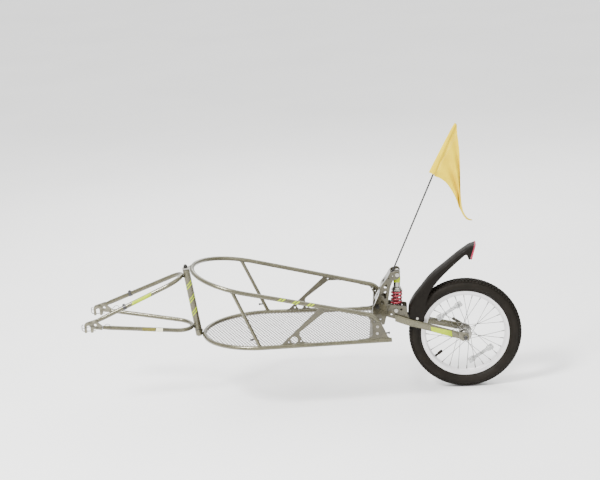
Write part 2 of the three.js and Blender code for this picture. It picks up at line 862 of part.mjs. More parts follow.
function insideOutline(outline, x, y) {
  let inside = false;
  outline.forEach((a, i) => {
    const b = outline[(i + 1) % outline.length];
    const crosses = a.y > y !== b.y > y && x < ((b.x - a.x) * (y - a.y)) / (b.y - a.y) + a.x;
    if (crosses) inside = !inside;
  });
  return inside;
}

function addFloor() {
  const sheet = solid(floorSlab(floorOutline(0), floor.thickness));
  const field = solid(floorSlab(floorOutline(floor.rim), floor.thickness + overrun));
  const gaps = wasm.Manifold.compose(floorGaps().map(solid)).intersect(field);
  addPiece('floor_mesh', geometryOf(sheet.subtract(gaps)), 'silver');
}

// Bulkhead: a folded sheet between the rear panels, with slots, that carries the tower

const bulkhead = {
  frontX: floor.rearX + 2,
  thickness: 2.5,
  top: 8,
  flange: 27,
  slotTop: -8,
  slotBottom: -52,
  slotHalf: 30,
  slotPitch: 84,
  slotCount: 4,
  slotRadius: 10,
  footFlange: 16,
};

const bulkheadHalf = -sideY(bulkhead.frontX + bulkhead.flange) - sidePlate.thickness / 2 - 2 * gap;

function addBulkhead() {
  const { frontX, thickness, top, flange, footFlange } = bulkhead;
  const bottom = -floorDrop + floor.thickness / 2 + gap;
  const flangeBottom = -floorDrop + railRadius + 2 * gap;
  const web = new THREE.BoxGeometry(thickness, 2 * bulkheadHalf, top - bottom);
  web.translate(frontX + thickness / 2, 0, (top + bottom) / 2);
  const foot = new THREE.BoxGeometry(footFlange, 2 * bulkheadHalf, thickness);
  foot.translate(frontX + thickness - footFlange / 2, 0, bottom + thickness / 2);
  const sides = [-1, 1].map((side) => {
    const height = top - flange / 2 - flangeBottom;
    const y = side * (bulkheadHalf - thickness / 2);
    return new THREE.BoxGeometry(flange, thickness, height)
      .translate(frontX + flange / 2, y, flangeBottom + height / 2);
  });
  const cutters = [bottomRailCutter, topRailCutter];
  const first = -((bulkhead.slotCount - 1) * bulkhead.slotPitch) / 2;
  for (let i = 0; i < bulkhead.slotCount; i += 1) {
    cutters.push(bulkheadSlot(first + i * bulkhead.slotPitch));
  }
  addPiece('bulkhead', cut(join(web, foot, ...sides), ...cutters), 'olive');
}

function bulkheadSlot(y) {
  const [low, high, half, radius] = [bulkhead.slotBottom, bulkhead.slotTop, bulkhead.slotHalf, bulkhead.slotRadius];
  const outline = roundedOutline([
    [y - half, low, radius],
    [y + half, low, radius],
    [y + half, high, radius],
    [y - half, high, radius],
  ]);
  const block = slab(outline, bulkhead.thickness + 2 * overrun);
  block.rotateX(Math.PI / 2).rotateZ(Math.PI / 2);
  return block.translate(bulkhead.frontX - overrun, 0, 0);
}

// Shock tower: two lattice plates, and a web between them along the front edge

const tower = {
  innerHalf: 31,
  thickness: 3,
  eyeRadius: 14,
  flangeWidth: 13,
  flangeThickness: 2.5,
  boltHole: 4.3,
  webThickness: 2.5,
  windowInset: 7,
};
const swing = { innerHalf: 26, thickness: 3, sleeveRadius: 10, shoulderRadius: 11.5, boltRadius: 5 };

const towerBox = { x: bulkhead.frontX + bulkhead.thickness + gap, z: -floorDrop + railRadius, length: 92, height: 200 };
const towerShares = [
  [0, 0, 3],
  [0, 0.36, 4],
  [0.26, 0.6, 12],
  [0.315, 0.71, 10],
  [0.56, 0.85, 12],
  [0.72, 0.965, 18],
  [1.02, 1, 20],
  [1.14, 0.92, 14],
  [1.02, 0.84, 10],
  [0.82, 0.83, 14],
  [0.705, 0.7, 16],
  [0.58, 0.42, 40],
  [0.5, 0.16, 20],
  [0.4, 0, 4],
];
const towerWindows = [
  [[0.41, 0.68, 3], [0.6, 0.79, 3], [0.575, 0.685, 3]],
  [[0.3, 0.56, 3], [0.56, 0.645, 3], [0.5, 0.46, 4]],
  [[0.29, 0.49, 4], [0.46, 0.41, 4], [0.33, 0.36, 4]],
  [[0.1, 0.12, 5], [0.1, 0.2, 5], [0.33, 0.2, 5], [0.28, 0.08, 5]],
];
const webFootShares = [0.087, 0.44];
const towerSmallHoles = { radius: 2.6, shares: [[0.8, 0.9], [0.66, 0.86]] };

function addTowerPlates() {
  const outline = roundedOutline(placed(towerShares, towerBox));
  const holes = towerWindows.map((window) => roundedOutline(placed(window, towerBox)));
  for (const share of towerSmallHoles.shares) {
    holes.push(circle(...onBox(towerBox, share), towerSmallHoles.radius, wireSides));
  }
  holes.push(circle(shockTop.x, shockTop.z, tower.boltHole, tubeSides));
  holes.push(circle(swingPivot.x, swingPivot.z, swing.boltRadius + gap, tubeSides));
  const y = -tower.innerHalf - tower.thickness;
  const body = plate(outline, y, tower.thickness, holes);
  addPair('tower_plate', join(body, towerFlange(y)), 'olive');
}

// Turned-out lip on the sloping lower front edge
function towerFlange(y) {
  const [footX, footZ] = onBox(towerBox, towerShares[1]);
  const [headX, headZ] = onBox(towerBox, towerShares[2]);
  const length = Math.hypot(headX - footX, headZ - footZ);
  const angle = Math.atan2(headZ - footZ, headX - footX);
  const lip = plate(
    roundedOutline([
      [0, -tower.flangeThickness],
      [length, -tower.flangeThickness],
      [length, 0],
      [0, 0],
    ]),
    y - tower.flangeWidth,
    tower.flangeWidth + tower.thickness,
  );
  return lip.rotateY(-angle).translate(footX, 0, footZ);
}

function addTowerWeb() {
  const half = tower.innerHalf - gap;
  const front = [webFootShares, ...towerShares.slice(2, 6)].map((share) => onBox(towerBox, share));
  const t = tower.webThickness;
  const back = front.map(([x, z]) => [x + t, z - t / 2]).reverse();
  const strip = plate(roundedOutline([...front, ...back]), -half, 2 * half);
  const windows = [0, 2].map((i) => webWindow(front[i], front[i + 1], half));
  addPiece('tower_web', cut(strip, ...windows), 'olive');
}

// Triangular window through the web between two heights
function webWindow([, lowZ], [, highZ], half) {
  const inset = tower.windowInset;
  const reach = half - inset;
  const outline = roundedOutline([
    [-reach, lowZ + inset, inset / 2],
    [reach, lowZ + inset, inset / 2],
    [0, highZ - inset / 2, inset / 2],
  ]);
  const block = slab(outline, towerBox.length);
  return block.rotateX(Math.PI / 2).rotateZ(Math.PI / 2).translate(towerBox.x - overrun, 0, 0);
}

// Through bolt along Y: head on the left, nut on the right, a thicker shoulder each side of the middle
function throughBolt({ x, z, radius, faceHalf, headRadius, headLength, shoulder }) {
  const profile = [[0, -faceHalf - gap - headLength], [headRadius, -faceHalf - gap - headLength]];
  profile.push([headRadius, -faceHalf - gap], [radius, -faceHalf - gap]);
  if (shoulder) {
    for (const side of [-1, 1]) {
      const [near, far] = side < 0 ? [shoulder.to, shoulder.from] : [shoulder.from, shoulder.to];
      profile.push([radius, side * near], [shoulder.radius, side * near]);
      profile.push([shoulder.radius, side * far], [radius, side * far]);
    }
  }
  profile.push([radius, faceHalf + gap], [headRadius, faceHalf + gap]);
  profile.push([headRadius, faceHalf + gap + headLength], [0, faceHalf + gap + headLength]);
  return shaftAboutY(profile, tubeSides).translate(x, 0, z);
}

const shockBolt = { radius: 4, headRadius: 7.4, headLength: 5, lowHeadLength: 4, shoulderRadius: 7 };
const eyeHalfWidth = 8;

function addTowerBolts() {
  const top = throughBolt({
    ...shockTop,
    radius: shockBolt.radius,
    faceHalf: tower.innerHalf + tower.thickness,
    headRadius: shockBolt.headRadius,
    headLength: shockBolt.headLength,
    shoulder: { radius: shockBolt.shoulderRadius, from: eyeHalfWidth + gap, to: tower.innerHalf - gap },
  });
  addPiece('shock_top_bolt', top, 'silver');
  const pivot = throughBolt({
    ...swingPivot,
    radius: swing.boltRadius,
    faceHalf: tower.innerHalf + tower.thickness,
    headRadius: shockBolt.headRadius,
    headLength: shockBolt.headLength,
  });
  addPiece('swing_pivot_bolt', pivot, 'black');
}

// Flag socket behind the web, with a bracket to it

const mast = {
  radius: 3,
  foot: { x: 1071, z: 70 },
  mid: { x: 1255, z: 468 },
  top: { x: 1344, z: 649 },
  bendSteps: 6,
};
const socket = { radius: 6, length: 38, floor: 3, bracketThickness: 4, bracketDepth: 16 };
const mastLean = Math.atan2(mast.mid.x - mast.foot.x, mast.mid.z - mast.foot.z);

function addFlagSocket() {
  const bore = mast.radius + gap;
  const cup = [
    [0, -socket.floor - gap],
    [socket.radius, -socket.floor - gap],
    [socket.radius, socket.length],
    [bore, socket.length],
    [bore, -gap],
    [0, -gap],
  ];
  const cupBody = shaftAboutZ(cup, tubeSides).rotateY(mastLean).translate(mast.foot.x, 0, mast.foot.z);
  const [wx, wz] = onBox(towerBox, towerShares[3]);
  const [hx, hz] = onBox(towerBox, towerShares[4]);
  const t = tower.webThickness;
  const bracket = plate(
    roundedOutline([
      [wx + t + gap, wz - t / 2 - gap],
      [hx + t + gap, hz - t / 2 - gap],
      [hx + t + socket.bracketDepth / 2, hz - t / 2 - gap - socket.bracketDepth / 4],
      [mast.foot.x, mast.foot.z + socket.radius],
      [mast.foot.x, mast.foot.z],
    ]),
    -socket.bracketThickness / 2,
    socket.bracketThickness,
  );
  const bore2 = shaftAboutZ([[0, -gap], [bore, -gap], [bore, socket.length + overrun], [0, socket.length + overrun]], tubeSides);
  bore2.rotateY(mastLean).translate(mast.foot.x, 0, mast.foot.z);
  addPiece('flag_socket', cut(join(cupBody, bracket), bore2), 'olive');
}

// Mast and flag

const flagCloth = {
  thickness: 0.8,
  acrossSteps: 10,
  lengthSteps: 12,
  foldDepth: 10,
  folds: 2.4,
  foldStart: 0.4,
  foldFade: 0.85,
  foldCrowd: 0.333,
  hemWall: 1.3,
  hemEase: 0.15,
  hemLength: 196,
  cornerReach: 13,
  mastTip: 4,
  tipShare: 0.985,
};
const flagBox = { x: 1241, z: 287, length: 150, height: 358 };
const flagFreeShares = [
  [0.67, 0.995],
  [0.72, 0.861],
  [0.74, 0.728],
  [0.74, 0.553],
  [0.735, 0.3],
  [0.79, 0.165],
  [0.88, 0.085],
  [1, 0.04],
];
const flagLowShares = [
  [0, 0.54],
  [0.093, 0.506],
  [0.287, 0.464],
  [0.433, 0.403],
  [0.63, 0.242],
  [0.68, 0.12],
  [0.76, 0.035],
  [0.867, 0],
  [1, 0.02],
];

function mastLine() {
  const straight = new THREE.Vector2(mast.foot.x, mast.foot.z);
  const mid = new THREE.Vector2(mast.mid.x, mast.mid.z);
  const top = new THREE.Vector2(mast.top.x, mast.top.z);
  const points = [vec(straight.x, 0, straight.y), vec(mid.x, 0, mid.y)];
  const steps = mast.bendSteps;
  const span = top.clone().sub(mid).length();
  const start = mid.clone().sub(straight).normalize();
  for (let i = 1; i <= steps; i += 1) {
    const t = i / steps;
    const along = mid.clone().addScaledVector(start, span * t);
    const bent = along.lerp(top, t * t);
    points.push(vec(bent.x, 0, bent.y));
  }
  return points;
}

// The mast as a path that can be measured from its foot
function mastPath() {
  const line = mastLine();
  const path = new THREE.CurvePath();
  for (let i = 0; i < line.length - 1; i += 1) path.add(new THREE.LineCurve3(line[i], line[i + 1]));
  return path;
}

function sideCurve(shares, box) {
  const points = placed(shares, box).map(([x, z]) => vec(x, 0, z));
  return new THREE.CatmullRomCurve3(points);
}

const hemBore = (mast.radius + gap) / Math.cos(Math.PI / wireSides);
const hemOuter = hemBore + flagCloth.hemWall;

// The mast's middle and the way out to the cloth at a share of the hem, from its top down
function hemFrame(path, v) {
  const length = path.getLength();
  const high = 1 - flagCloth.mastTip / length;
  const low = 1 - flagCloth.hemLength / length;
  const t = THREE.MathUtils.lerp(high, low, v);
  const slope = path.getTangentAt(t);
  return { middle: path.getPointAt(t), out: vec(slope.z, 0, -slope.x) };
}

// One row of the flag: along one face to the hem, round the sleeve and back along the other
function flagRow(path, freeEdge, lowEdge, v) {
  const { middle, out } = hemFrame(path, v);
  const shift = freeEdge.getPointAt(0).lerp(lowEdge.getPointAt(0), v).sub(middle).negate();
  shift.addScaledVector(out, hemOuter);
  const face = [];
  for (let i = 0; i <= flagCloth.acrossSteps; i += 1) {
    const u = (i / flagCloth.acrossSteps) * flagCloth.tipShare;
    const place = freeEdge.getPointAt(u).lerp(lowEdge.getPointAt(u), v);
    place.addScaledVector(shift, Math.max(0, 1 - u / flagCloth.hemEase) ** 2);
    place.y = foldAt(u, v);
    face.push(place);
  }
  const side = (reach) => face.map((p) => p.clone().add(vec(0, reach, 0)));
  const half = flagCloth.thickness / 2;
  return { front: side(-half).reverse(), back: side(half), ...sleeve(middle, out, v) };
}

function foldAt(u, v) {
  const { foldDepth, folds, foldStart, foldFade, foldCrowd } = flagCloth;
  const grown = Math.min(u / foldStart, 1) * (1 - u * foldFade);
  return foldDepth * grown * Math.sin(2 * Math.PI * folds * v * (1 - u * foldCrowd));
}

// The sleeve's two rings; away from the cloth it widens towards the flag's lower corner
function sleeve(middle, out, v) {
  const reach = hemOuter + v * flagCloth.cornerReach;
  const point = (angle, radius, far) => {
    const x = Math.cos(angle);
    const p = middle.clone().addScaledVector(out, x * (x < 0 ? far : radius));
    return p.setY(-radius * Math.sin(angle));
  };
  const slit = Math.asin(flagCloth.thickness / 2 / hemOuter);
  const outer = [];
  const bore = [];
  for (let k = 0; k < wireSides; k += 1) {
    const angle = slit + ((2 * Math.PI - 2 * slit) * k) / wireSides;
    if (k > 0) outer.push(point(angle, hemOuter, reach));
    bore.push(point((2 * Math.PI * k) / wireSides, hemBore, reach - flagCloth.hemWall));
  }
  return { outer, bore };
}

// Flag: the rows' outer rings and bores are skinned, and closed at the top and the bottom
function flagSheet() {
  const path = mastPath();
  const freeEdge = sideCurve(flagFreeShares, flagBox);
  const lowEdge = sideCurve(flagLowShares, flagBox);
  const rows = [];
  for (let j = 0; j <= flagCloth.lengthSteps; j += 1) {
    rows.push(flagRow(path, freeEdge, lowEdge, j / flagCloth.lengthSteps));
  }
  const faces = [];
  const quad = (a, b, c, d) => faces.push([a, b, c], [a, c, d]);
  for (let j = 0; j < rows.length - 1; j += 1) {
    skin(quad, skinRing(rows[j]), skinRing(rows[j + 1]), rows[j].front.length);
    skin(quad, rows[j + 1].bore, rows[j].bore, 0);
  }
  closeRow(faces, rows[0], false);
  closeRow(faces, rows[rows.length - 1], true);
  return outward(fromTriangles(faces));
}

function skinRing({ front, outer, back }) {
  return [...front, ...outer, ...back];
}

// Past the first points the quads are split the other way, so both faces fold alike
function skin(quad, ring, next, first) {
  ring.forEach((point, i) => {
    const after = (i + 1) % ring.length;
    if (i < first) quad(point, ring[after], next[after], next[i]);
    else quad(ring[after], next[after], next[i], point);
  });
}

// Closes an end of the flag: a strip between its faces and a flat collar round the sleeve
function closeRow(faces, { front, outer, back, bore }, flip) {
  const near = [...front].reverse();
  const add = (...corners) => faces.push(flip ? corners.reverse() : corners);
  for (let i = 0; i < near.length - 1; i += 1) {
    add(near[i], near[i + 1], back[i + 1]);
    add(near[i], back[i + 1], back[i]);
  }
  const round = [near[0], ...outer, back[0]];
  for (let k = 0; k < bore.length; k += 1) {
    const after = bore[(k + 1) % bore.length];
    add(round[k + 1], round[k], bore[k]);
    add(round[k + 1], bore[k], after);
  }
  add(near[0], back[0], bore[0]);
}

function fromTriangles(faces) {
  const positions = faces.flatMap((face) => face.flatMap((p) => [p.x, p.y, p.z]));
  const geometry = new THREE.BufferGeometry();
  geometry.setAttribute('position', new THREE.Float32BufferAttribute(positions, 3));
  return bare(geometry);
}

function addMastAndFlag() {
  addPiece('flag_mast', tube(mastLine(), mast.radius, wireSides), 'black');
  addPiece('flag', flagSheet(), 'yellow');
}

// Swingarm: a box of two plates at the pivot, then two arms past the wheel

const swingPlateBox = { x: swingPivot.x, z: swingPivot.z, length: 105, height: 60 };
const swingPlateShares = [
  [-0.136, 0.238, 14.2],
  [0.36, 0.08, 10],
  [1, -0.12, 6],
  [1, -1.02, 6],
  [0.85, -1.02, 20],
  [0.28, -0.67, 20],
  [-0.136, -0.238, 14.2],
];
const swingHoles = [
  [0.38, -0.28, 4],
  [0.46, -0.56, 3],
  [0.8, -0.28, 4.5],
  [0.7, -0.66, 3.2],
  [0.9, -0.62, 3],
];
const bridge = { x: 1124, z: -38, radius: 8 };
const swingBolt = { radius: 3.4 };

function addSwingPlates() {
  const outline = roundedOutline(placed(swingPlateShares, swingPlateBox));
  const holes = swingHoles.map(([u, v, r]) => circle(...onBox(swingPlateBox, [u, v]), r, wireSides));
  holes.push(circle(swingPivot.x, swingPivot.z, swing.sleeveRadius + gap, turnedSides));
  holes.push(circle(shockFoot.x, shockFoot.z, swingBolt.radius + gap, tubeSides));
  const y = -swing.innerHalf - swing.thickness;
  addPair('swing_plate', plate(outline, y, swing.thickness, holes), 'olive');
  addPiece('pivot_sleeve', pivotSleeve(), 'steel');
  const half = swing.innerHalf - gap;
  addPiece('swing_bridge', rodY(bridge.x, bridge.z, bridge.radius, -half, half), 'olive');
}

// The sleeve fills both plates and has a wider shoulder between them
function pivotSleeve() {
  const face = tower.innerHalf - gap;
  const half = swing.innerHalf - gap;
  return ringAboutY([
    [swing.boltRadius + gap, -face],
    [swing.sleeveRadius, -face],
    [swing.sleeveRadius, -half],
    [swing.shoulderRadius, -half],
    [swing.shoulderRadius, half],
    [swing.sleeveRadius, half],
    [swing.sleeveRadius, face],
    [swing.boltRadius + gap, face],
  ]).translate(swingPivot.x, 0, swingPivot.z);
}

// Arms: flattened tubes that lap the plates, pass the tyre and meet the axle dropouts

const arm = { height: 26, width: 11, cornerRadius: 4.5, steps: 11 };
const axleDropout = {
  thickness: 6,
  radius: 13,
  slotHalf: 5.3,
  slotDrop: 15,
  tabReach: 24,
  tabRise: 7,
  tabInset: 1,
  foot: 2,
};
const armStations = {
  front: { x: 1096, z: -41 },
  knee: { x: 1150, z: -61 },
  lug: 1185,
  tyreClearance: 4,
};

function armCentre() {
  const { front, knee, lug, tyreClearance } = armStations;
  const dropY = hubWidth / 2 + gap + axleDropout.thickness / 2;
  const lapY = swing.innerHalf + swing.thickness + gap + arm.width / 2;
  const clearY = tyreWidth / 2 + tyreClearance + arm.width / 2;
  const end = armEnd();
  const height = (x) => knee.z + ((x - knee.x) * (end.z - knee.z)) / (end.x - knee.x);
  const middle = (lug + end.x) / 2;
  return new THREE.CatmullRomCurve3([
    vec(front.x, -lapY, front.z),
    vec((front.x + knee.x) / 2, -lapY, (front.z + knee.z) / 2),
    vec(knee.x, -clearY, knee.z),
    vec(lug, -clearY, height(lug)),
    vec(middle, -(clearY + dropY) / 2, height(middle)),
    vec(end.x, -dropY, end.z),
  ], false, 'centripetal');
}

function armEnd() {
  return { x: axleBack - axleDropout.tabReach, z: -axleDrop + axleDropout.tabRise };
}

function armBody() {
  const curve = armCentre();
  const section = roundedOutline([
    [-arm.width / 2, -arm.height / 2, arm.cornerRadius],
    [arm.width / 2, -arm.height / 2, arm.cornerRadius],
    [arm.width / 2, arm.height / 2, arm.cornerRadius],
    [-arm.width / 2, arm.height / 2, arm.cornerRadius],
  ]);
  const rings = [];
  for (let i = 0; i <= arm.steps; i += 1) {
    const t = i / arm.steps;
    const p = curve.getPointAt(t);
    const slope = curve.getTangentAt(t);
    const square = i === 0 || i === arm.steps;
    const across = square ? vec(0, -1, 0) : vec(slope.y, -slope.x, 0).normalize();
    const up = square ? vec(0, 0, 1) : vec(-slope.z, 0, slope.x).normalize();
    rings.push(section.map((s) => p.clone().addScaledVector(across, s.x).addScaledVector(up, s.y)));
  }
  return loft(rings);
}

const fenderLug = { x: 1176, z: -46, radius: 8, thickness: 3, foot: 24 };
const fenderBolt = { radius: 2.5, headRadius: 5, headLength: 3 };

function addArms() {
  const lugOuter = fenderInnerHalf() - gap;
  const lug = plate(
    roundedOutline([
      [fenderLug.x - fenderLug.radius, fenderLug.z - fenderLug.foot],
      [fenderLug.x + fenderLug.radius, fenderLug.z - fenderLug.foot],
      [fenderLug.x + fenderLug.radius, fenderLug.z + fenderLug.radius, fenderLug.radius],
      [fenderLug.x - fenderLug.radius, fenderLug.z + fenderLug.radius, fenderLug.radius],
    ]),
    -lugOuter,
    fenderLug.thickness,
    [circle(fenderLug.x, fenderLug.z, fenderBolt.radius + gap, wireSides)],
  );
  addPair('arm', join(armBody(), lug), 'olive');
  addPair('axle_dropout', axleDropoutPlate(), 'silver');
}

function axleDropoutPlate() {
  const { radius, slotHalf, slotDrop, foot, thickness } = axleDropout;
  const end = armEnd();
  const half = arm.height / 2 - axleDropout.tabInset;
  const x = end.x + gap;
  const outline = roundedOutline([
    [x, end.z + half, foot],
    [axleBack + radius, -axleDrop + radius, radius],
    [axleBack + radius, -axleDrop - slotDrop, foot],
    [axleBack + slotHalf, -axleDrop - slotDrop, foot],
    [axleBack + slotHalf, -axleDrop + slotHalf, slotHalf],
    [axleBack - slotHalf, -axleDrop + slotHalf, slotHalf],
    [axleBack - slotHalf, -axleDrop - slotDrop, foot],
    [axleBack - radius, -axleDrop - slotDrop, foot],
    [x, end.z - half, foot],
  ]);
  return plate(outline, -hubWidth / 2 - gap - thickness, thickness);
}

// Fender: a moulded channel whose sides straddle the tyre, and a tall end for the reflector

const fenderBaseRoom = 9;
const fenderTipRoom = 1;
const fenderFrontRoom = 1;
const fenderLengthShare = 1.2315;
const fenderHeightShare = 1.33;
const fender = {
  wall: 2.5,
  baseHalf: tyreWidth / 2 + fenderBaseRoom,
  tipHalf: tyreWidth / 2 + fenderTipRoom,
  rings: 14,
  taperFrom: 0.14,
  taperTo: 0.7,
  crownShare: 0.62,
  crownDrop: 7,
  crownDropShare: 0.4,
};
const fenderBox = {
  x: tyreFrontX + fenderFrontRoom,
  z: -54,
  length: tyreRadius * fenderLengthShare,
  height: tyreRadius * fenderHeightShare,
};
const fenderSpineShares = [
  [0, 0.04],
  [0.016, 0.178],
  [0.084, 0.298],
  [0.192, 0.422],
  [0.352, 0.592],
  [0.588, 0.766],
  [0.736, 0.874],
  [0.836, 0.937],
  [0.916, 0.981],
  [0.988, 1],
];
const fenderEdgeShares = [
  [0.228, -0.024],
  [0.248, 0.152],
  [0.272, 0.244],
  [0.324, 0.37],
  [0.46, 0.534],
  [0.664, 0.714],
  [0.796, 0.815],
  [0.868, 0.86],
  [0.9, 0.8],
  [0.92, 0.792],
];

function fenderInnerHalf() {
  return fender.baseHalf - fender.wall;
}

function fenderRing(spine, edge, half, wall) {
  const depth = edge.clone().sub(spine);
  const across = (share, along, inset) => {
    const p = spine.clone().addScaledVector(depth, along);
    const inward = depth.clone().normalize().multiplyScalar(inset);
    return p.add(inward).setY(share * (half - inset));
  };
  const shoulder = fender.crownShare;
  const drop = Math.min(fender.crownDrop / depth.length(), fender.crownDropShare);
  const outer = [[-1, 1], [-1, drop], [-shoulder, 0], [shoulder, 0], [1, drop], [1, 1]];
  const ring = outer.map(([y, along]) => across(y, along, 0));
  const inner = outer.map(([y, along]) => {
    const p = across(y, along, along === 1 ? 0 : wall);
    return along === 1 ? p.setY(y * (half - wall)) : p;
  });
  return [...ring, ...inner.reverse()];
}

function addFender() {
  const spine = sideCurve(fenderSpineShares, fenderBox);
  const edge = sideCurve(fenderEdgeShares, fenderBox);
  const rings = [];
  for (let i = 0; i <= fender.rings; i += 1) {
    const t = i / fender.rings;
    const share = THREE.MathUtils.clamp((t - fender.taperFrom) / (fender.taperTo - fender.taperFrom), 0, 1);
    const half = THREE.MathUtils.lerp(fender.baseHalf, fender.tipHalf, share);
    rings.push(fenderRing(spine.getPoint(t), edge.getPoint(t), half, fender.wall));
  }
  const across = fender.baseHalf + overrun;
  const bore = rodY(fenderLug.x, fenderLug.z, fenderBolt.radius + gap, -across, across, wireSides);
  addPiece('fender', cut(loft(rings), bore), 'black');
  addPair('fender_bolt', fenderBoltSolid(), 'silver');
  addPiece('rear_reflector', rearReflector(spine.getPoint(1), edge.getPoint(1)), 'lens');
}

function fenderBoltSolid() {
  const face = fender.baseHalf + gap;
  const end = fenderInnerHalf() - fenderLug.thickness - gap;
  const profile = [
    [0, end],
    [fenderBolt.radius, end],
    [fenderBolt.radius, face],
    [fenderBolt.headRadius, face],
    [fenderBolt.headRadius, face + fenderBolt.headLength],
    [0, face + fenderBolt.headLength],
  ];
  return mirrored(shaftAboutY(profile, wireSides).translate(fenderLug.x, 0, fenderLug.z));
}

const tailLens = { thickness: 6, corner: 6 };

function rearReflector(top, low) {
  const { thickness, corner } = tailLens;
  const face = top.clone().sub(low);
  const height = face.length();
  const half = fender.tipHalf;
  const outline = roundedOutline([
    [-half, 0, corner],
    [half, 0, corner],
    [half, height, corner],
    [-half, height, corner],
  ]);
  const block = slab(outline, thickness);
  block.rotateX(Math.PI / 2).rotateZ(Math.PI / 2).translate(gap, 0, 0);
  const lean = Math.atan2(face.x, face.z);
  return block.rotateY(lean).translate(low.x, 0, low.z);
}

// Shock: built upright between its two bolts, then leaned to them

const shock = {
  eyeRadius: 11,
  eyeBore: 4.4,
  neckRadius: 10,
  damperRadius: 9.5,
  damperBottom: 42,
  collarRadius: 15.5,
  collarBottom: 71,
  collarHeight: 9,
  seatHeight: 4,
  seatRadius: 20,
  rodRadius: 4.5,
  rodTop: 60,
  springRadius: 18,
  wireRadius: 3.1,
  turns: 4.25,
  barrelStep: 4,
  headRise: 2,
  headDrop: 6,
  headOverlap: 3,
  plugDrop: 35.5,
};
const shockGroup = new THREE.Group();
const shockLength = Math.hypot(shockTop.x - shockFoot.x, shockTop.z - shockFoot.z);
shockGroup.position.set(shockFoot.x, 0, shockFoot.z);
shockGroup.rotation.y = Math.atan2(shockTop.x - shockFoot.x, shockTop.z - shockFoot.z);
trailer.add(shockGroup);

function eye(bore) {
  return [
    [bore, -eyeHalfWidth],
    [shock.eyeRadius, -eyeHalfWidth],
    [shock.eyeRadius, eyeHalfWidth],
    [bore, eyeHalfWidth],
  ];
}

function addShock() {
  const lowerSeatTop = shock.eyeRadius + shock.seatHeight;
  const rodBore = shock.rodRadius + gap;
  const barrelTop = shock.collarBottom + shock.collarHeight + shock.barrelStep;
  const eyeBottom = shockLength - shock.eyeRadius;
  const body = ringAboutZ([
    [rodBore, shock.damperBottom],
    [shock.damperRadius, shock.damperBottom],
    [shock.damperRadius, barrelTop],
    [shock.neckRadius + shock.headRise, barrelTop],
    [shock.neckRadius + shock.headRise, eyeBottom - shock.headDrop],
    [shock.neckRadius, eyeBottom + shock.headOverlap],
    [rodBore, eyeBottom + shock.headOverlap],
  ]);
  const topEye = ringAboutY(eye(shock.eyeBore)).translate(0, 0, shockLength);
  const eyeClear = rodY(0, shockLength, shock.eyeBore, -eyeHalfWidth - overrun, eyeHalfWidth + overrun, turnedSides);
  const plug = shaftAboutZ([
    [0, shock.rodTop + shock.plugDrop],
    [eyeHalfWidth, shock.rodTop + shock.plugDrop],
    [eyeHalfWidth, shockLength - shock.eyeRadius / 2],
    [0, shockLength - shock.eyeRadius / 2],
  ]);
  addPiece('shock_body', cut(join(body, topEye, plug), eyeClear), 'silver', shockGroup);
  const collarBore = (shock.damperRadius + gap) / Math.cos(Math.PI / turnedSides);
  const seatTop = shock.collarBottom;
  const collar = ringAboutZ([
    [collarBore, seatTop - shock.seatHeight / 2],
    [shock.seatRadius, seatTop - shock.seatHeight / 2],
    [shock.seatRadius, seatTop + shock.seatHeight / 2],
    [shock.collarRadius, seatTop + shock.seatHeight / 2],
    [shock.collarRadius, seatTop + shock.collarHeight],
    [collarBore, seatTop + shock.collarHeight],
  ]);
  addPiece('preload_collar', collar, 'silver', shockGroup);
  const foot = shaftAboutZ([
    [0, shock.eyeRadius / 2],
    [eyeHalfWidth, shock.eyeRadius / 2],
    [eyeHalfWidth, shock.eyeRadius],
    [shock.seatRadius, shock.eyeRadius],
    [shock.seatRadius, lowerSeatTop],
    [shock.rodRadius, lowerSeatTop],
    [shock.rodRadius, shock.rodTop],
    [0, shock.rodTop],
  ]);
  const lowEye = ringAboutY(eye(shock.eyeBore));
  const lowClear = rodY(0, 0, shock.eyeBore, -eyeHalfWidth - overrun, eyeHalfWidth + overrun, turnedSides);
  addPiece('shock_shaft', cut(join(foot, lowEye), lowClear), 'steel', shockGroup);
  const springBottom = lowerSeatTop + gap;
  const springTop = seatTop - shock.seatHeight / 2 - gap;
  addPiece('coil_spring', coilSpring(springBottom, springTop), 'red', shockGroup);
}

const coil = { stepsPerTurn: 8, sides: 5, easeShare: 0.14, endRise: 0.55 };

// One unbroken wire with closed end turns; the rise eases in and out at both ends
function coilSpring(bottom, top) {
  const { stepsPerTurn, sides } = coil;
  const steps = Math.round(shock.turns * stepsPerTurn);
  const low = bottom + shock.wireRadius;
  const high = top - shock.wireRadius;
  const centres = [];
  for (let i = 0; i <= steps; i += 1) {
    const t = i / steps;
    const a = 2 * Math.PI * shock.turns * t;
    const z = low + (high - low) * springRise(t);
    centres.push(vec(shock.springRadius * Math.cos(a), shock.springRadius * Math.sin(a), z));
  }
  console.log(`least gap of the spring to itself: ${leastGap(centres, stepsPerTurn).toFixed(2)} mm`);
  return loft(wireRings(centres, shock.wireRadius, sides));
}

function springRise(t) {
  const { easeShare: ease, endRise } = coil;
  const lead = ease * endRise;
  const slope = (1 - 2 * lead) / (1 - 2 * ease);
  if (t < ease) return t * endRise;
  if (t > 1 - ease) return 1 - (1 - t) * endRise;
  return lead + (t - ease) * slope;
}

function wireRings(centres, radius, sides) {
  return centres.map((centre, i) => {
    const before = centres[Math.max(i - 1, 0)];
    const after = centres[Math.min(i + 1, centres.length - 1)];
    const along = after.clone().sub(before).normalize();
    const out = vec(centre.x, centre.y, 0).normalize();
    const up = new THREE.Vector3().crossVectors(along, out).normalize();
    const side = new THREE.Vector3().crossVectors(up, along);
    return circle(0, 0, radius, sides).map((s) =>
      centre.clone().addScaledVector(side, s.x).addScaledVector(up, s.y));
  });
}

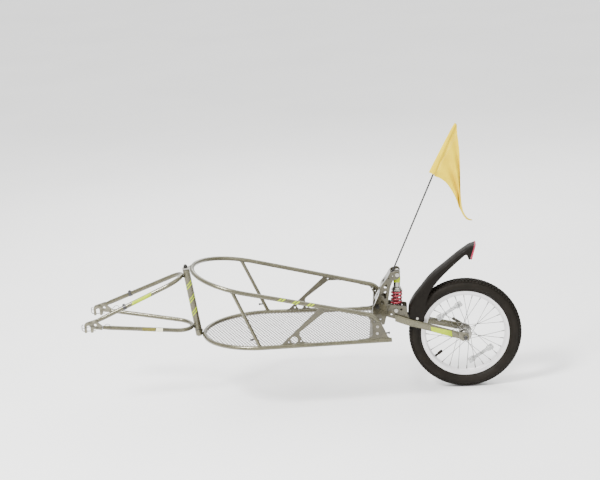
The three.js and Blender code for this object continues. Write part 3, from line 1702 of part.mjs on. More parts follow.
function leastGap(centres, stepsPerTurn) {
  let least = Infinity;
  for (let i = 0; i < centres.length; i += 1) {
    for (let j = i + stepsPerTurn / 2; j < centres.length; j += 1) {
      least = Math.min(least, centres[i].distanceTo(centres[j]) - 2 * shock.wireRadius);
    }
  }
  return least;
}

function addLowerShockBolt() {
  const bolt = throughBolt({
    ...shockFoot,
    radius: swingBolt.radius,
    faceHalf: swing.innerHalf + swing.thickness,
    headRadius: shockBolt.headRadius,
    headLength: shockBolt.lowHeadLength,
    shoulder: { radius: shockBolt.shoulderRadius, from: eyeHalfWidth + gap, to: swing.innerHalf - gap },
  });
  addPiece('shock_lower_bolt', bolt, 'silver');
}

// Wheel: everything is built round the axle at the origin and then moved there

const wheelGroup = new THREE.Group();
wheelGroup.position.set(axleBack, 0, -axleDrop);
trailer.add(wheelGroup);

const wheelSides = 34;
const rimDepth = 12;
const rimLip = 5.5;
const rimBead = tyreRadius - tyreHeight;
const rim = {
  inner: rimBead - rimDepth,
  bead: rimBead,
  flange: rimBead + rimLip,
  halfWidth: 15,
  wall: 2,
  wellHalf: 7,
};
const hub = { barrel: 13, flange: 23, flangeHalf: 28.5, flangeThickness: 3.4, shellHalf: 37, bore: 6.5, waist: 2 };
const spoke = {
  count: 28,
  radius: 1,
  nipple: 1.9,
  nippleLength: 11,
  sides: 3,
  crossings: 4,
  elbow: 0.4,
  outerSeat: 3.8,
  innerSeat: 1.3,
};
const axle = { radius: 4.9, bore: 2.9, coneRadius: 8.5, recess: 1 };
const skewerRadius = 2.5;

const tyreShape = {
  carcass: 3.5,
  bulgeDrop: 0.36,
  bulgeWidth: 0.9,
  shoulderDrop: 0.36,
  shoulderWidth: 0.85,
  treadWidth: 0.32,
  innerWidth: 0.4,
};

function addTyre() {
  const half = tyreWidth / 2;
  const shape = tyreShape;
  const seat = rim.halfWidth - rim.wall - gap;
  const mid = (tyreRadius + rim.flange) / 2;
  const outerSide = [
    [rim.bead, seat],
    [rim.flange + gap, seat],
    [mid - half * shape.bulgeDrop, half * shape.bulgeWidth],
    [mid, half],
    [tyreRadius - half * shape.shoulderDrop, half * shape.shoulderWidth],
    [tyreRadius, half * shape.treadWidth],
  ];
  const innerSide = [
    [tyreRadius - 2 * shape.carcass, half * shape.innerWidth],
    [mid, half - shape.carcass],
    [rim.bead, seat - shape.carcass],
  ];
  const across = (side) => side.map(([r, y]) => [r, -y]).reverse();
  const profile = [...outerSide, ...across(outerSide), ...across(innerSide), ...innerSide];
  addPiece('tyre', ringAboutY(profile, wheelSides), 'rubber', wheelGroup);
}

function addRim() {
  const { inner, bead, flange, halfWidth, wall, wellHalf } = rim;
  const leftSide = [
    [inner, -wellHalf],
    [inner + 2 * wall, -halfWidth],
    [flange, -halfWidth],
    [flange, -halfWidth + wall],
    [bead - gap, -halfWidth + wall],
    [inner + 2 * wall, -wellHalf + wall],
  ];
  const rightSide = leftSide.map(([r, y]) => [r, -y]).reverse();
  const profile = [...leftSide, ...rightSide];
  addPiece('rim', ringAboutY(profile, wheelSides), 'silver', wheelGroup);
}

function addHub() {
  const { barrel, flange, flangeHalf, flangeThickness, shellHalf, bore } = hub;
  const inside = flangeHalf - flangeThickness;
  const profile = [
    [bore, -shellHalf],
    [barrel - hub.waist, -shellHalf],
    [barrel, -flangeHalf],
    [flange, -flangeHalf],
    [flange, -inside],
    [barrel, -inside],
    [barrel - hub.waist, 0],
    [barrel, inside],
    [flange, inside],
    [flange, flangeHalf],
    [barrel, flangeHalf],
    [barrel - hub.waist, shellHalf],
    [bore, shellHalf],
  ];
  const spokes = [];
  for (let i = 0; i < spoke.count; i += 1) spokes.push(spokeSolid(i));
  const body = join(ringAboutY(profile), ...spokes);
  addPiece('hub_and_spokes', body, 'silver', wheelGroup);
  return solid(body);
}

// Crossed spokes: half lean one way and half the other, inside and outside each flange
function spokeSolid(i) {
  const side = i % 2 === 0 ? -1 : 1;
  const outside = i % 4 < 2;
  const spacing = (2 * Math.PI) / spoke.count;
  const rimAngle = spacing * i;
  const hubAngle = rimAngle + (outside ? 1 : -1) * spacing * spoke.crossings;
  const hubY = hub.flangeHalf - hub.flangeThickness / 2 + (outside ? spoke.elbow : -spoke.elbow);
  const rimY = outside ? spoke.outerSeat : spoke.innerSeat;
  const holeRadius = hub.flange - spoke.nipple;
  const start = vec(holeRadius * Math.cos(hubAngle), side * hubY, holeRadius * Math.sin(hubAngle));
  const seat = rim.inner * Math.cos(Math.PI / wheelSides) - 2 * gap;
  const end = vec(seat * Math.cos(rimAngle), side * rimY, seat * Math.sin(rimAngle));
  const length = start.distanceTo(end);
  const share = 1 - spoke.nippleLength / length;
  const along = end.clone().sub(start).normalize();
  const out = new THREE.Vector3().crossVectors(along, vec(0, 1, 0)).normalize();
  const up = new THREE.Vector3().crossVectors(along, out);
  const ring = (t, radius) => {
    const centre = start.clone().lerp(end, t);
    return circle(0, 0, radius, spoke.sides).map((s) =>
      centre.clone().addScaledVector(out, s.x).addScaledVector(up, s.y));
  };
  return loft([ring(0, spoke.radius), ring(share, spoke.radius), ring(1, spoke.nipple)]);
}

// Valve through the rim, and two clear reflectors between the spokes
const valve = { radius: 2.6, capRadius: 3.6, length: 32, capLength: 14, angle: THREE.MathUtils.degToRad(218) };
const sideReflector = {
  length: 104,
  height: 17,
  depth: 6,
  corner: 6,
  reachShare: 0.702,
  angle: THREE.MathUtils.degToRad(122.5),
};

function addWheelTrim(spokes) {
  const top = rim.inner * Math.cos(Math.PI / wheelSides) - gap;
  const stem = shaftAboutZ([
    [0, top - valve.length],
    [valve.capRadius, top - valve.length],
    [valve.capRadius, top - valve.length + valve.capLength],
    [valve.radius, top - valve.length + valve.capLength],
    [valve.radius, top],
    [0, top],
  ], wireSides);
  stem.rotateY(Math.PI / 2 - valve.angle);
  addPiece('valve', stem, 'black', wheelGroup);
  const { length, height, depth, corner } = sideReflector;
  for (const [name, turn] of [['front', 0], ['rear', Math.PI]]) {
    const outline = roundedOutline([
      [-length / 2, -height / 2, corner],
      [length / 2, -height / 2, corner],
      [length / 2, height / 2, corner],
      [-length / 2, height / 2, corner],
    ]);
    const bar = plate(outline, -depth / 2, depth);
    bar.translate(0, 0, rim.inner * sideReflector.reachShare);
    bar.rotateY(Math.PI / 2 - sideReflector.angle - turn);
    addPiece(`spoke_reflector_${name}`, seated(bar, spokes, vec(0, -1, 0), hub.flangeHalf), 'clear', wheelGroup);
  }
}

// Axle, skewer and lever: they stay with the swingarm

const lever = {
  length: 53,
  width: 10,
  thickness: 3.2,
  bow: 4,
  rise: 33,
  reach: 45,
  pivotRadius: 3.6,
  bendRadius: 17.7,
  tipRadius: 1.05,
};
const cam = { radius: 9, length: 10, taper: 2 };

function addAxle() {
  const half = hubWidth / 2;
  const dropFace = half + gap + axleDropout.thickness;
  const end = dropFace - axle.recess;
  const profile = [
    [axle.bore, -end],
    [axle.radius, -end],
    [axle.radius, -half],
    [axle.coneRadius, -half],
    [axle.coneRadius, -hub.shellHalf - gap],
    [hub.bore - gap, -hub.shellHalf - gap],
    [hub.bore - gap, hub.shellHalf + gap],
    [axle.coneRadius, hub.shellHalf + gap],
    [axle.coneRadius, half],
    [axle.radius, half],
    [axle.radius, end],
    [axle.bore, end],
  ];
  addPiece('hub_axle', ringAboutY(profile, tubeSides), 'steel', wheelGroup);
  const face = dropFace + gap;
  const skewer = shaftAboutY([
    [0, -face - cam.length],
    [cam.radius - cam.taper, -face - cam.length],
    [cam.radius, -face],
    [skewerRadius, -face],
    [skewerRadius, face],
    [cam.radius, face],
    [cam.radius, face + cam.length],
    [0, face + cam.length],
  ]);
  addPiece('skewer', skewer, 'steel', wheelGroup);
  const pivotY = face + cam.length + gap + lever.pivotRadius;
  addPiece('quick_release_lever', leverGeometry(pivotY), 'steel', wheelGroup);
}

// Lever: a bowed blade on a small barrel; when closed it points forward and up
function leverGeometry(y) {
  const { length, thickness, bow, pivotRadius, width } = lever;
  const blade = roundedOutline([
    [0, pivotRadius],
    [length / 2, bow + thickness / 2, lever.bendRadius],
    [length, thickness - bow / 2, lever.tipRadius],
    [length, -bow / 2, lever.tipRadius],
    [length / 2, bow - thickness / 2, lever.bendRadius],
    [0, -pivotRadius / 2],
  ]);
  const barrel = slab(circle(0, 0, pivotRadius), width);
  const body = join(slab(blade, width), barrel).translate(0, 0, -width / 2);
  const angle = Math.atan2(lever.rise, -lever.reach);
  return body.applyMatrix4(leverFrame(angle)).translate(0, y, 0);
}

// Turns the lever's length from X to its closed direction and its height from Y to +Y
function leverFrame(angle) {
  const along = vec(Math.cos(angle), 0, Math.sin(angle));
  const out = vec(0, 1, 0);
  return new THREE.Matrix4().makeBasis(along, out, new THREE.Vector3().crossVectors(along, out));
}

addRails();
addYoke();
addHitch();
addSteeringJoint();
addStruts();
addBraces();
addRearPanels();
addFloor();
addBulkhead();
addTowerPlates();
addTowerWeb();
addTowerBolts();
addFlagSocket();
addMastAndFlag();
addSwingPlates();
addArms();
addFender();
addShock();
addLowerShockBolt();
addTyre();
addRim();
addWheelTrim(addHub());
addAxle();

export default trailer;
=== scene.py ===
"""Dresses the single wheel touring trailer: tubes, plates, net, wheel, shock and flag.

Lengths are written in millimetres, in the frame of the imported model, and turned
into metres where a mesh is made.
"""
import json
import logging
from contextlib import contextmanager
from dataclasses import dataclass
from enum import Enum
from math import acos, atan, atan2, cos, hypot, pi, radians, sin, sqrt
from typing import Iterator, Sequence

import bmesh
import bpy
from mathutils import Matrix, Vector

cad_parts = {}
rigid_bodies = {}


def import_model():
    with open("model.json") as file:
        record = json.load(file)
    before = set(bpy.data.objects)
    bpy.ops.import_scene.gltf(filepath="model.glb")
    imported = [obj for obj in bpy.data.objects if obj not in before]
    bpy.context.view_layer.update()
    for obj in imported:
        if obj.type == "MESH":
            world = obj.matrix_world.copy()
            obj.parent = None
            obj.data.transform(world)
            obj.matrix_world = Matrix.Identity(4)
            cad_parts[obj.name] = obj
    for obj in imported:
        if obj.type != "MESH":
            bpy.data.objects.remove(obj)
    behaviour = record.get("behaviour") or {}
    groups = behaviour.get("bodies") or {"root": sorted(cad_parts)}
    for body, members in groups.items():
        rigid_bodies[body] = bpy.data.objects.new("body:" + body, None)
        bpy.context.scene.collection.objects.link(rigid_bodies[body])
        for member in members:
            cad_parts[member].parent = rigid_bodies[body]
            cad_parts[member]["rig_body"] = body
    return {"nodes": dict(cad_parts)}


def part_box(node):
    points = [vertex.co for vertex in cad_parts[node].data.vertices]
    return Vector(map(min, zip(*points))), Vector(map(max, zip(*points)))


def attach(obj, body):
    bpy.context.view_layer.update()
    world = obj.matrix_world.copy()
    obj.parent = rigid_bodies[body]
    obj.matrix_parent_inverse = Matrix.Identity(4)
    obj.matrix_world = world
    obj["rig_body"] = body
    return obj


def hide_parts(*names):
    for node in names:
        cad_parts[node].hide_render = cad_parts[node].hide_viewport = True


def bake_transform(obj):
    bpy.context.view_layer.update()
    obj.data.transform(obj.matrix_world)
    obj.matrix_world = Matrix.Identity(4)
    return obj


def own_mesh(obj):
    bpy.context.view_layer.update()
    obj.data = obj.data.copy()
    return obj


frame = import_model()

logging.basicConfig(level=logging.INFO, format="%(message)s")
LOG = logging.getLogger("touring_trailer")
MM = 0.001
SIDES = ((-1, "left"), (1, "right"))
ACROSS = (0, 1, 0)
SEAM_GAP = 0.002
Point = tuple[float, float, float]
Pairs = Sequence[tuple[float, float]]
Places = Sequence[Sequence[float]]
Piece = bpy.types.Object
Tree = bpy.types.NodeTree
Socket = bpy.types.NodeSocket


class Slot(Enum):
    """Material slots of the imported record."""

    FRAME = "frame_paint"
    ALLOY = "bright_alloy"
    STEEL = "steel"
    BLACK = "black_fittings"
    BUSHING = "bushing_plastic"
    FENDER = "fender_plastic"
    TYRE = "tyre_rubber"
    SPRING = "spring_paint"
    CLOTH = "flag_cloth"
    RED_LENS = "red_lens"
    CLEAR_LENS = "clear_lens"


# Finishes


def linear(hex_colour: str) -> tuple[float, float, float, float]:
    """Turns an sRGB hex colour into Blender's linear colour.

    Args:
        hex_colour: Six hex digits, without a hash sign.

    Returns:
        The linear red, green and blue, and an alpha of one.
    """
    parts = [int(hex_colour[i : i + 2], 16) / 255 for i in (0, 2, 4)]
    low = [c / 12.92 if c <= 0.04045 else ((c + 0.055) / 1.055) ** 2.4 for c in parts]
    return (low[0], low[1], low[2], 1.0)


def add_node(
    tree: Tree, kind: str, inputs: dict[str | int, object] | None = None, **settings: object
) -> bpy.types.Node:
    """Adds one shader node with its settings, values and links.

    Args:
        tree: The material's node tree.
        kind: The node's type name.
        inputs: Values, or sockets to link, by input name or number.
        settings: Properties of the node.

    Returns:
        The new node.
    """
    made = tree.nodes.new(kind)
    for key, value in settings.items():
        setattr(made, key, value)
    for key, value in (inputs or {}).items():
        if isinstance(value, Socket):
            tree.links.new(value, made.inputs[key])
        else:
            made.inputs[key].default_value = value
    return made


@dataclass(frozen=True)
class Finish:
    """A surface whose colour clouds, whose roughness swings and whose grain stands up."""

    name: str
    colour: str
    shade: str
    metallic: float = 0.0
    roughness: float = 0.5
    roughness_swing: float = 0.12
    cloud_mm: float = 45.0
    grain_mm: float = 1.2
    grain_depth_mm: float = 0.02
    coat: float = 0.0
    coat_roughness: float = 0.1
    specular: float = 0.5
    sheen: float = 0.0
    transmission: float = 0.0
    cloud_span: tuple[float, float] = (0.35, 0.7)

    def material(self) -> bpy.types.Material:
        """Builds the material once, and returns it."""
        known = bpy.data.materials.get(self.name)
        if known:
            return known
        made = bpy.data.materials.new(self.name)
        made.use_nodes = True
        tree = made.node_tree
        tree.nodes.clear()
        place = add_node(tree, "ShaderNodeTexCoord").outputs["Object"]
        shader = add_node(
            tree,
            "ShaderNodeBsdfPrincipled",
            {
                "Metallic": self.metallic,
                "Coat Weight": self.coat,
                "Coat Roughness": self.coat_roughness,
                "Specular IOR Level": self.specular,
                "Sheen Weight": self.sheen,
                "Transmission Weight": self.transmission,
            },
        )
        tree.links.new(self.colouring(tree, place), shader.inputs["Base Color"])
        tree.links.new(self.roughening(tree, place), shader.inputs["Roughness"])
        tree.links.new(self.relief(tree, place), shader.inputs["Normal"])
        out = add_node(tree, "ShaderNodeOutputMaterial")
        tree.links.new(shader.outputs["BSDF"], out.inputs["Surface"])
        return made

    def clouds(self, tree: Tree, place: Socket) -> Socket:
        """Soft patches, cloud_mm across, from 0 to 1."""
        noise = add_node(
            tree,
            "ShaderNodeTexNoise",
            {"Vector": place, "Scale": 1 / (self.cloud_mm * MM), "Detail": 4.0},
        )
        return noise.outputs["Fac"]

    def grain(self, tree: Tree, place: Socket) -> Socket:
        """Fine grain, grain_mm across, from 0 to 1."""
        noise = add_node(
            tree,
            "ShaderNodeTexNoise",
            {"Vector": place, "Scale": 1 / (self.grain_mm * MM), "Detail": 2.0},
        )
        return noise.outputs["Fac"]

    def colouring(self, tree: Tree, place: Socket) -> Socket:
        """The colour, which clouds towards its shade."""
        low, high = self.cloud_span
        spread = add_node(
            tree,
            "ShaderNodeMapRange",
            {"Value": self.clouds(tree, place), "From Min": low, "From Max": high},
        )
        mix = add_node(
            tree,
            "ShaderNodeMix",
            {0: spread.outputs[0], 6: linear(self.colour), 7: linear(self.shade)},
            data_type="RGBA",
        )
        return mix.outputs[2]

    def roughening(self, tree: Tree, place: Socket) -> Socket:
        """The roughness, which swings with handling marks."""
        marks = add_node(
            tree,
            "ShaderNodeTexNoise",
            {"Vector": place, "Scale": 2.7 / (self.cloud_mm * MM), "Detail": 6.0},
        )
        swing = add_node(
            tree,
            "ShaderNodeMapRange",
            {
                "Value": marks.outputs["Fac"],
                "From Min": 0.3,
                "From Max": 0.7,
                "To Min": max(self.roughness - self.roughness_swing, 0.02),
                "To Max": min(self.roughness + self.roughness_swing, 1.0),
            },
        )
        return swing.outputs[0]

    def relief(self, tree: Tree, place: Socket) -> Socket:
        """The normal, raised by the grain."""
        bump = add_node(
            tree,
            "ShaderNodeBump",
            {
                "Height": self.grain(tree, place),
                "Distance": self.grain_depth_mm * MM,
                "Strength": 1.0,
            },
        )
        return bump.outputs["Normal"]


@dataclass(frozen=True)
class FlakePaint(Finish):
    """Metallic enamel: bright flakes in a clouded colour under a clear coat."""

    flake_mm: float = 0.9
    flake: str = "8a8670"

    def colouring(self, tree: Tree, place: Socket) -> Socket:
        """The clouded colour with single flakes that catch the light."""
        base = super().colouring(tree, place)
        cells = add_node(
            tree, "ShaderNodeTexVoronoi", {"Vector": place, "Scale": 1 / (self.flake_mm * MM)}
        )
        lit = add_node(
            tree,
            "ShaderNodeMapRange",
            {"Value": cells.outputs["Color"], "From Min": 0.55, "From Max": 0.95, "To Max": 0.4},
        )
        mix = add_node(
            tree,
            "ShaderNodeMix",
            {0: lit.outputs[0], 6: base, 7: linear(self.flake)},
            data_type="RGBA",
        )
        return mix.outputs[2]


@dataclass(frozen=True)
class BrushedMetal(Finish):
    """Metal with fine parallel scratches along one axis."""

    along: Point = (1.0, 14.0, 14.0)

    def grain(self, tree: Tree, place: Socket) -> Socket:
        """Scratches: the grain drawn out along the brushing."""
        turned = add_node(tree, "ShaderNodeMapping", {"Vector": place, "Scale": self.along})
        noise = add_node(
            tree,
            "ShaderNodeTexNoise",
            {"Vector": turned.outputs[0], "Scale": 1 / (self.grain_mm * MM * 14), "Detail": 5.0},
        )
        return noise.outputs["Fac"]


@dataclass(frozen=True)
class PrismLens(Finish):
    """Moulded reflector plastic: small corner prisms under a smooth face."""

    prism_mm: float = 2.4
    cloud_span: tuple[float, float] = (0.35, 0.65)

    def clouds(self, tree: Tree, place: Socket) -> Socket:
        """Small cells of prisms, each painted lighter or darker than its neighbour as painted
        glints, from 0 to 1.
        """
        cells = add_node(
            tree,
            "ShaderNodeTexVoronoi",
            {"Vector": place, "Scale": 0.8 / (self.prism_mm * MM), "Randomness": 0.2},
        )
        return cells.outputs["Color"]

    def relief(self, tree: Tree, place: Socket) -> Socket:
        """The prisms as small facets."""
        cells = add_node(
            tree,
            "ShaderNodeTexVoronoi",
            {"Vector": place, "Scale": 1 / (self.prism_mm * MM), "Randomness": 0.0},
            distance="MANHATTAN",
        )
        bump = add_node(
            tree,
            "ShaderNodeBump",
            {"Height": cells.outputs["Distance"], "Distance": 0.5 * MM, "Strength": 0.8},
        )
        return bump.outputs["Normal"]


# Olive grey metallic enamel on steel: the eye sees a soft green grey gloss that goes
# pale where it faces the light
FRAME_PAINT = FlakePaint(
    "olive_metallic_enamel", "58543f", "474433", metallic=0.6, roughness=0.25, roughness_swing=0.08,
    cloud_mm=60, grain_mm=2.2, grain_depth_mm=0.03, coat=0.5, coat_roughness=0.12,
)
# The same enamel on the cut plates, painted darker: a shaded copy of the frame's enamel, with the
# plates' shade painted into its colour
SHADED_PLATE_PAINT = FlakePaint(
    "olive_enamel_painted_shade", "46412f", "363224", metallic=0.45, roughness=0.34,
    roughness_swing=0.08, cloud_mm=28, grain_mm=2.2, grain_depth_mm=0.03, coat=0.5, flake="6f6a55",
)
# Blasted aluminium of the dropouts, a little stained: warm grey with brighter worn patches
BLASTED_ALLOY = BrushedMetal(
    "blasted_aluminium", "7f7b6b", "4c493f", metallic=0.9, roughness=0.36, cloud_mm=11,
    grain_mm=0.8, grain_depth_mm=0.03,
)
# Machined and tumbled aluminium: pale, with a soft satin highlight
SATIN_ALLOY = BrushedMetal(
    "satin_aluminium", "a9a7a0", "8c8a83", metallic=1.0, roughness=0.3, cloud_mm=14, grain_mm=0.7,
    grain_depth_mm=0.015,
)
# Slit and stretched steel net, galvanised: dull silver with pale clouds
NET_STEEL = Finish(
    "galvanised_net", "6b6461", "564f4d", metallic=0.4, roughness=0.5, cloud_mm=18, grain_mm=1.0,
    grain_depth_mm=0.03,
)
# Zinc plated steel: bright, with faint yellow grey clouds
ZINC_STEEL = BrushedMetal(
    "zinc_plated_steel", "b1afa9", "8b8983", metallic=1.0, roughness=0.27, cloud_mm=12,
    grain_mm=0.5, grain_depth_mm=0.01,
)
# Black oxide steel and black anodised aluminium: dark satin
BLACK_METAL = Finish(
    "black_anodised", "2b2926", "201f1c", metallic=0.5, roughness=0.36, cloud_mm=14, grain_mm=0.6,
    grain_depth_mm=0.012,
)
# Pultruded glass fibre rod: dark grey, smooth, with a faint drawn grain
GLASS_FIBRE = Finish(
    "dark_glass_fibre", "2a2828", "222020", roughness=0.4, cloud_mm=30, grain_mm=0.9, coat=0.1
)
# Acetal bushing: dark, waxy, with the faint swirl of its moulding
ACETAL = Finish(
    "dark_acetal", "1f1d1a", "171614", roughness=0.42, cloud_mm=9, grain_mm=0.8, coat=0.1
)
# Injection moulded polypropylene with a fine spark eroded texture: soft black, slightly grey
POLYPROPYLENE = Finish(
    "textured_polypropylene", "14110d", "0f0c09", roughness=0.5, roughness_swing=0.09, cloud_mm=70,
    grain_mm=1.5, grain_depth_mm=0.06, specular=0.1,
)
# Carbon black tyre rubber, a little dusty: warm matt black
TYRE_RUBBER = Finish(
    "carbon_black_rubber", "1a1611", "14110c", roughness=0.6, roughness_swing=0.1, cloud_mm=35,
    grain_mm=1.4, grain_depth_mm=0.05, specular=0.12,
)
# Red powder coat on spring steel: deep, glossy, with a faint orange peel
SPRING_RED = Finish(
    "red_powder_coat", "8a0424", "680217", roughness=0.32, roughness_swing=0.06, cloud_mm=16,
    grain_mm=1.8, grain_depth_mm=0.05, coat=0.3,
)
# Dyed nylon flag cloth: warm yellow with a soft sheen
FLAG_NYLON = Finish(
    "yellow_nylon", "dfc400", "d2b400", roughness=0.62, cloud_mm=50, grain_mm=0.9,
    grain_depth_mm=0.08, specular=0.1, sheen=0.05,
)
# Red acrylic prisms: deep red; the sparkle is partly real, from the bumped facets, and partly
# painted glints, cells of lighter and darker red
RED_PRISM = PrismLens("red_prism_acrylic", "b00640", "86042c", roughness=0.2, coat=0.3)
# Clear acrylic prisms, backed by their own facets: pale grey, with painted glints, cells of lighter
# and darker grey, over the facets' real sparkle
CLEAR_PRISM = PrismLens(
    "clear_prism_acrylic", "d8d8d6", "979896", roughness=0.2, coat=0.6, transmission=0.2
)
# Screen printed vinyl band: lime, thin, slightly glossy
LIME_VINYL = Finish(
    "lime_vinyl", "a3b800", "93a700", roughness=0.45, cloud_mm=20, grain_mm=1.2,
    grain_depth_mm=0.01, specular=0.2,
)
# Ochre and pale yellow vinyl of the lower stay's plain bands
OCHRE_VINYL = Finish(
    "ochre_vinyl", "665f06", "4f4a05", roughness=0.38, cloud_mm=18, grain_mm=1.2, coat=0.3
)
PALE_VINYL = Finish(
    "pale_yellow_vinyl", "efecc8", "e6e2b4", roughness=0.38, cloud_mm=18, grain_mm=1.2, coat=0.3
)
# The same enamel over the rippled weld beads: duller, because it pools between the drops
WELD_PAINT = FlakePaint(
    "enamel_over_weld", "4f4c3c", "423f30", metallic=0.4, roughness=0.42, cloud_mm=9, grain_mm=1.6,
    grain_depth_mm=0.05, coat=0.3,
)
# Anodised rim aluminium: pale silver with the fine rings of its rolling
RIM_ALLOY = BrushedMetal(
    "rolled_rim_aluminium", "e4e2e2", "d6d4d5", metallic=0.45, roughness=0.38, cloud_mm=40,
    grain_mm=0.6, grain_depth_mm=0.01,
)
# Drawn stainless steel: bright and narrow highlights
SPOKE_STEEL = Finish(
    "drawn_stainless", "5f5d59", "4d4b47", metallic=0.9, roughness=0.24, cloud_mm=22, grain_mm=0.8
)
# Steel wire under a dark plastic coat: soft gloss, with the lay of the strands under it
COATED_WIRE = Finish(
    "coated_wire", "2b2521", "211c19", roughness=0.4, cloud_mm=6, grain_mm=1.1, coat=0.2
)
# Polyester thread, a little paler than the cloth
HEM_THREAD = Finish(
    "hem_thread", "f2dc86", "e6cc6c", roughness=0.6, cloud_mm=5, grain_mm=0.4, sheen=0.4
)


# Workshop: how a mesh is started, shaped and finished


def deselect_all() -> None:
    """Leaves edit mode and selects nothing."""
    if bpy.context.object and bpy.context.object.mode != "OBJECT":
        bpy.ops.object.mode_set(mode="OBJECT")
    bpy.ops.object.select_all(action="DESELECT")


def take_up(piece: Piece) -> None:
    """Selects one piece alone and makes it active."""
    deselect_all()
    piece.select_set(True)
    bpy.context.view_layer.objects.active = piece


@contextmanager
def editing(piece: Piece) -> Iterator[None]:
    """Opens a piece in edit mode with all of it selected, and closes it at the end."""
    take_up(piece)
    bpy.ops.object.mode_set(mode="EDIT")
    bpy.ops.mesh.select_all(action="SELECT")
    yield
    bpy.ops.object.mode_set(mode="OBJECT")


def linked(name: str, data: bpy.types.ID) -> Piece:
    """Puts a mesh, curve, lamp or camera into the scene as an object."""
    made = bpy.data.objects.new(name, data)
    bpy.context.scene.collection.objects.link(made)
    return made


def at(point: Sequence[float]) -> Vector:
    """A place in millimetres as a vector in metres."""
    return Vector(point) * MM


def apply_modifiers(piece: Piece) -> None:
    """Applies every modifier of a piece, in order."""
    take_up(piece)
    for name in [m.name for m in piece.modifiers]:
        bpy.ops.object.modifier_apply(modifier=name)


def soften_edges(piece: Piece, width_mm: float) -> None:
    """Rounds a piece's sharp edges with a bevel, as a file or a tumbler does."""
    bevel = piece.modifiers.new("edge", "BEVEL")
    bevel.width = width_mm * MM
    bevel.segments = 2
    bevel.limit_method = "ANGLE"
    bevel.angle_limit = radians(55)
    apply_modifiers(piece)


def flatten_shading(piece: Piece) -> None:
    """Weighs the corner normals by face size, so a flat plate shades flat up to its edge."""
    weigh = piece.modifiers.new("flat", "WEIGHTED_NORMAL")
    weigh.weight = 100
    weigh.keep_sharp = True
    apply_modifiers(piece)


def thickened(piece: Piece, wall_mm: float) -> None:
    """Gives a surface a wall, half of it on either face."""
    wall = piece.modifiers.new("wall", "SOLIDIFY")
    wall.thickness = wall_mm * MM
    wall.offset = 0.0
    wall.use_even_offset = False
    apply_modifiers(piece)


def body_of(node: str) -> str:
    """The body that a node belongs to."""
    return frame["nodes"][node]["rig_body"]


def finish_piece(
    piece: Piece,
    body: str | None,
    finish: Finish,
    stands_for: Sequence[str] = (),
    smooth_deg: float = 50,
) -> None:
    """Puts a piece's place into its mesh, dresses it and hands it to its body.

    Args:
        piece: The modelled object.
        body: The body that it rides on, or None for a piece that runs between two and is left on
            neither.
        finish: What it is made of.
        stands_for: The nodes that it replaces.
        smooth_deg: The angle up to which faces shade as one.
    """
    take_up(piece)
    bpy.ops.object.transform_apply(location=True, rotation=True, scale=True)
    piece.data.materials.clear()
    piece.data.materials.append(finish.material())
    bpy.ops.object.shade_smooth_by_angle(angle=radians(smooth_deg))
    if body:
        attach(piece, body)
    if stands_for:
        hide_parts(*stands_for)
    LOG.info("%s: %d faces on %s", piece.name, len(piece.data.polygons), body or "two bodies")


def bars(
    name: str,
    runs: Sequence[Places],
    radius: float,
    resolution: int = 1,
    radii: Sequence[float] | None = None,
) -> Piece:
    """Round bars along lines of points, with closed ends, as one mesh.

    Args:
        name: The piece's name.
        runs: The middle line of each bar, in millimetres.
        radius: Their radius in millimetres.
        resolution: How finely they are rounded.
        radii: The share of the radius at each point, or None for the same all along.

    Returns:
        The bars as a mesh object.
    """
    curve = bpy.data.curves.new(name, "CURVE")
    curve.dimensions = "3D"
    curve.bevel_depth = radius * MM
    curve.bevel_resolution = resolution
    curve.use_fill_caps = True
    for run in runs:
        spline = curve.splines.new("POLY")
        spline.points.add(len(run) - 1)
        for k, (spot, point) in enumerate(zip(spline.points, run)):
            spot.co = (*at(point), 1)
            spot.radius = radii[k] if radii else 1.0
    take_up(linked(name, curve))
    bpy.ops.object.convert(target="MESH")
    return bpy.context.object


def swept_tube(
    name: str, line: Places, radius: float, sides: int, radii: Sequence[float] | None = None
) -> Piece:
    """One round bar along a line of points, as a closed body.

    Args:
        name: The piece's name.
        line: Points of the middle line, in millimetres.
        radius: The bar's radius in millimetres.
        sides: Faces round the bar.
        radii: The share of the radius at each point, or None for the same all along.

    Returns:
        The bar as a mesh object.
    """
    bar = bars(name, [line], radius, max(sides // 4 - 1, 1), radii)
    with editing(bar):
        bpy.ops.mesh.remove_doubles(threshold=1e-6)
        bpy.ops.mesh.normals_make_consistent(inside=False)
    return bar


def outline_piece(name: str, points: Places, closed: bool = True) -> Piece:
    """A chain of points to spin, extrude or fill: a circle whose points are moved.

    Args:
        name: The piece's name.
        points: The chain in millimetres.
        closed: Whether the last point joins the first.

    Returns:
        The outline as an object.
    """
    deselect_all()
    bpy.ops.mesh.primitive_circle_add(vertices=len(points), radius=10 * MM)
    piece = bpy.context.object
    piece.name = name
    for vertex, point in zip(piece.data.vertices, points):
        vertex.co = at(point)
    if not closed:
        bpy.ops.object.mode_set(mode="EDIT")
        shape = bmesh.from_edit_mesh(piece.data)
        ends = {0, len(points) - 1}
        for edge in shape.edges:
            edge.select = {vertex.index for vertex in edge.verts} == ends
        bpy.ops.mesh.delete(type="EDGE")
        bpy.ops.object.mode_set(mode="OBJECT")
    return piece


def close_seams(piece: Piece) -> None:
    """Merges a piece's doubled points and turns its faces outwards."""
    with editing(piece):
        bpy.ops.mesh.remove_doubles(threshold=SEAM_GAP * MM)
        bpy.ops.mesh.dissolve_degenerate(threshold=SEAM_GAP * MM)
        bpy.ops.mesh.select_all(action="SELECT")
        bpy.ops.mesh.normals_make_consistent(inside=False)


def mirrored(half: Pairs) -> list[tuple[float, float]]:
    """A profile and its mirror image across the middle, from one half of it."""
    return [*half, *[(radius, -across) for radius, across in reversed(half[1:-1])]]


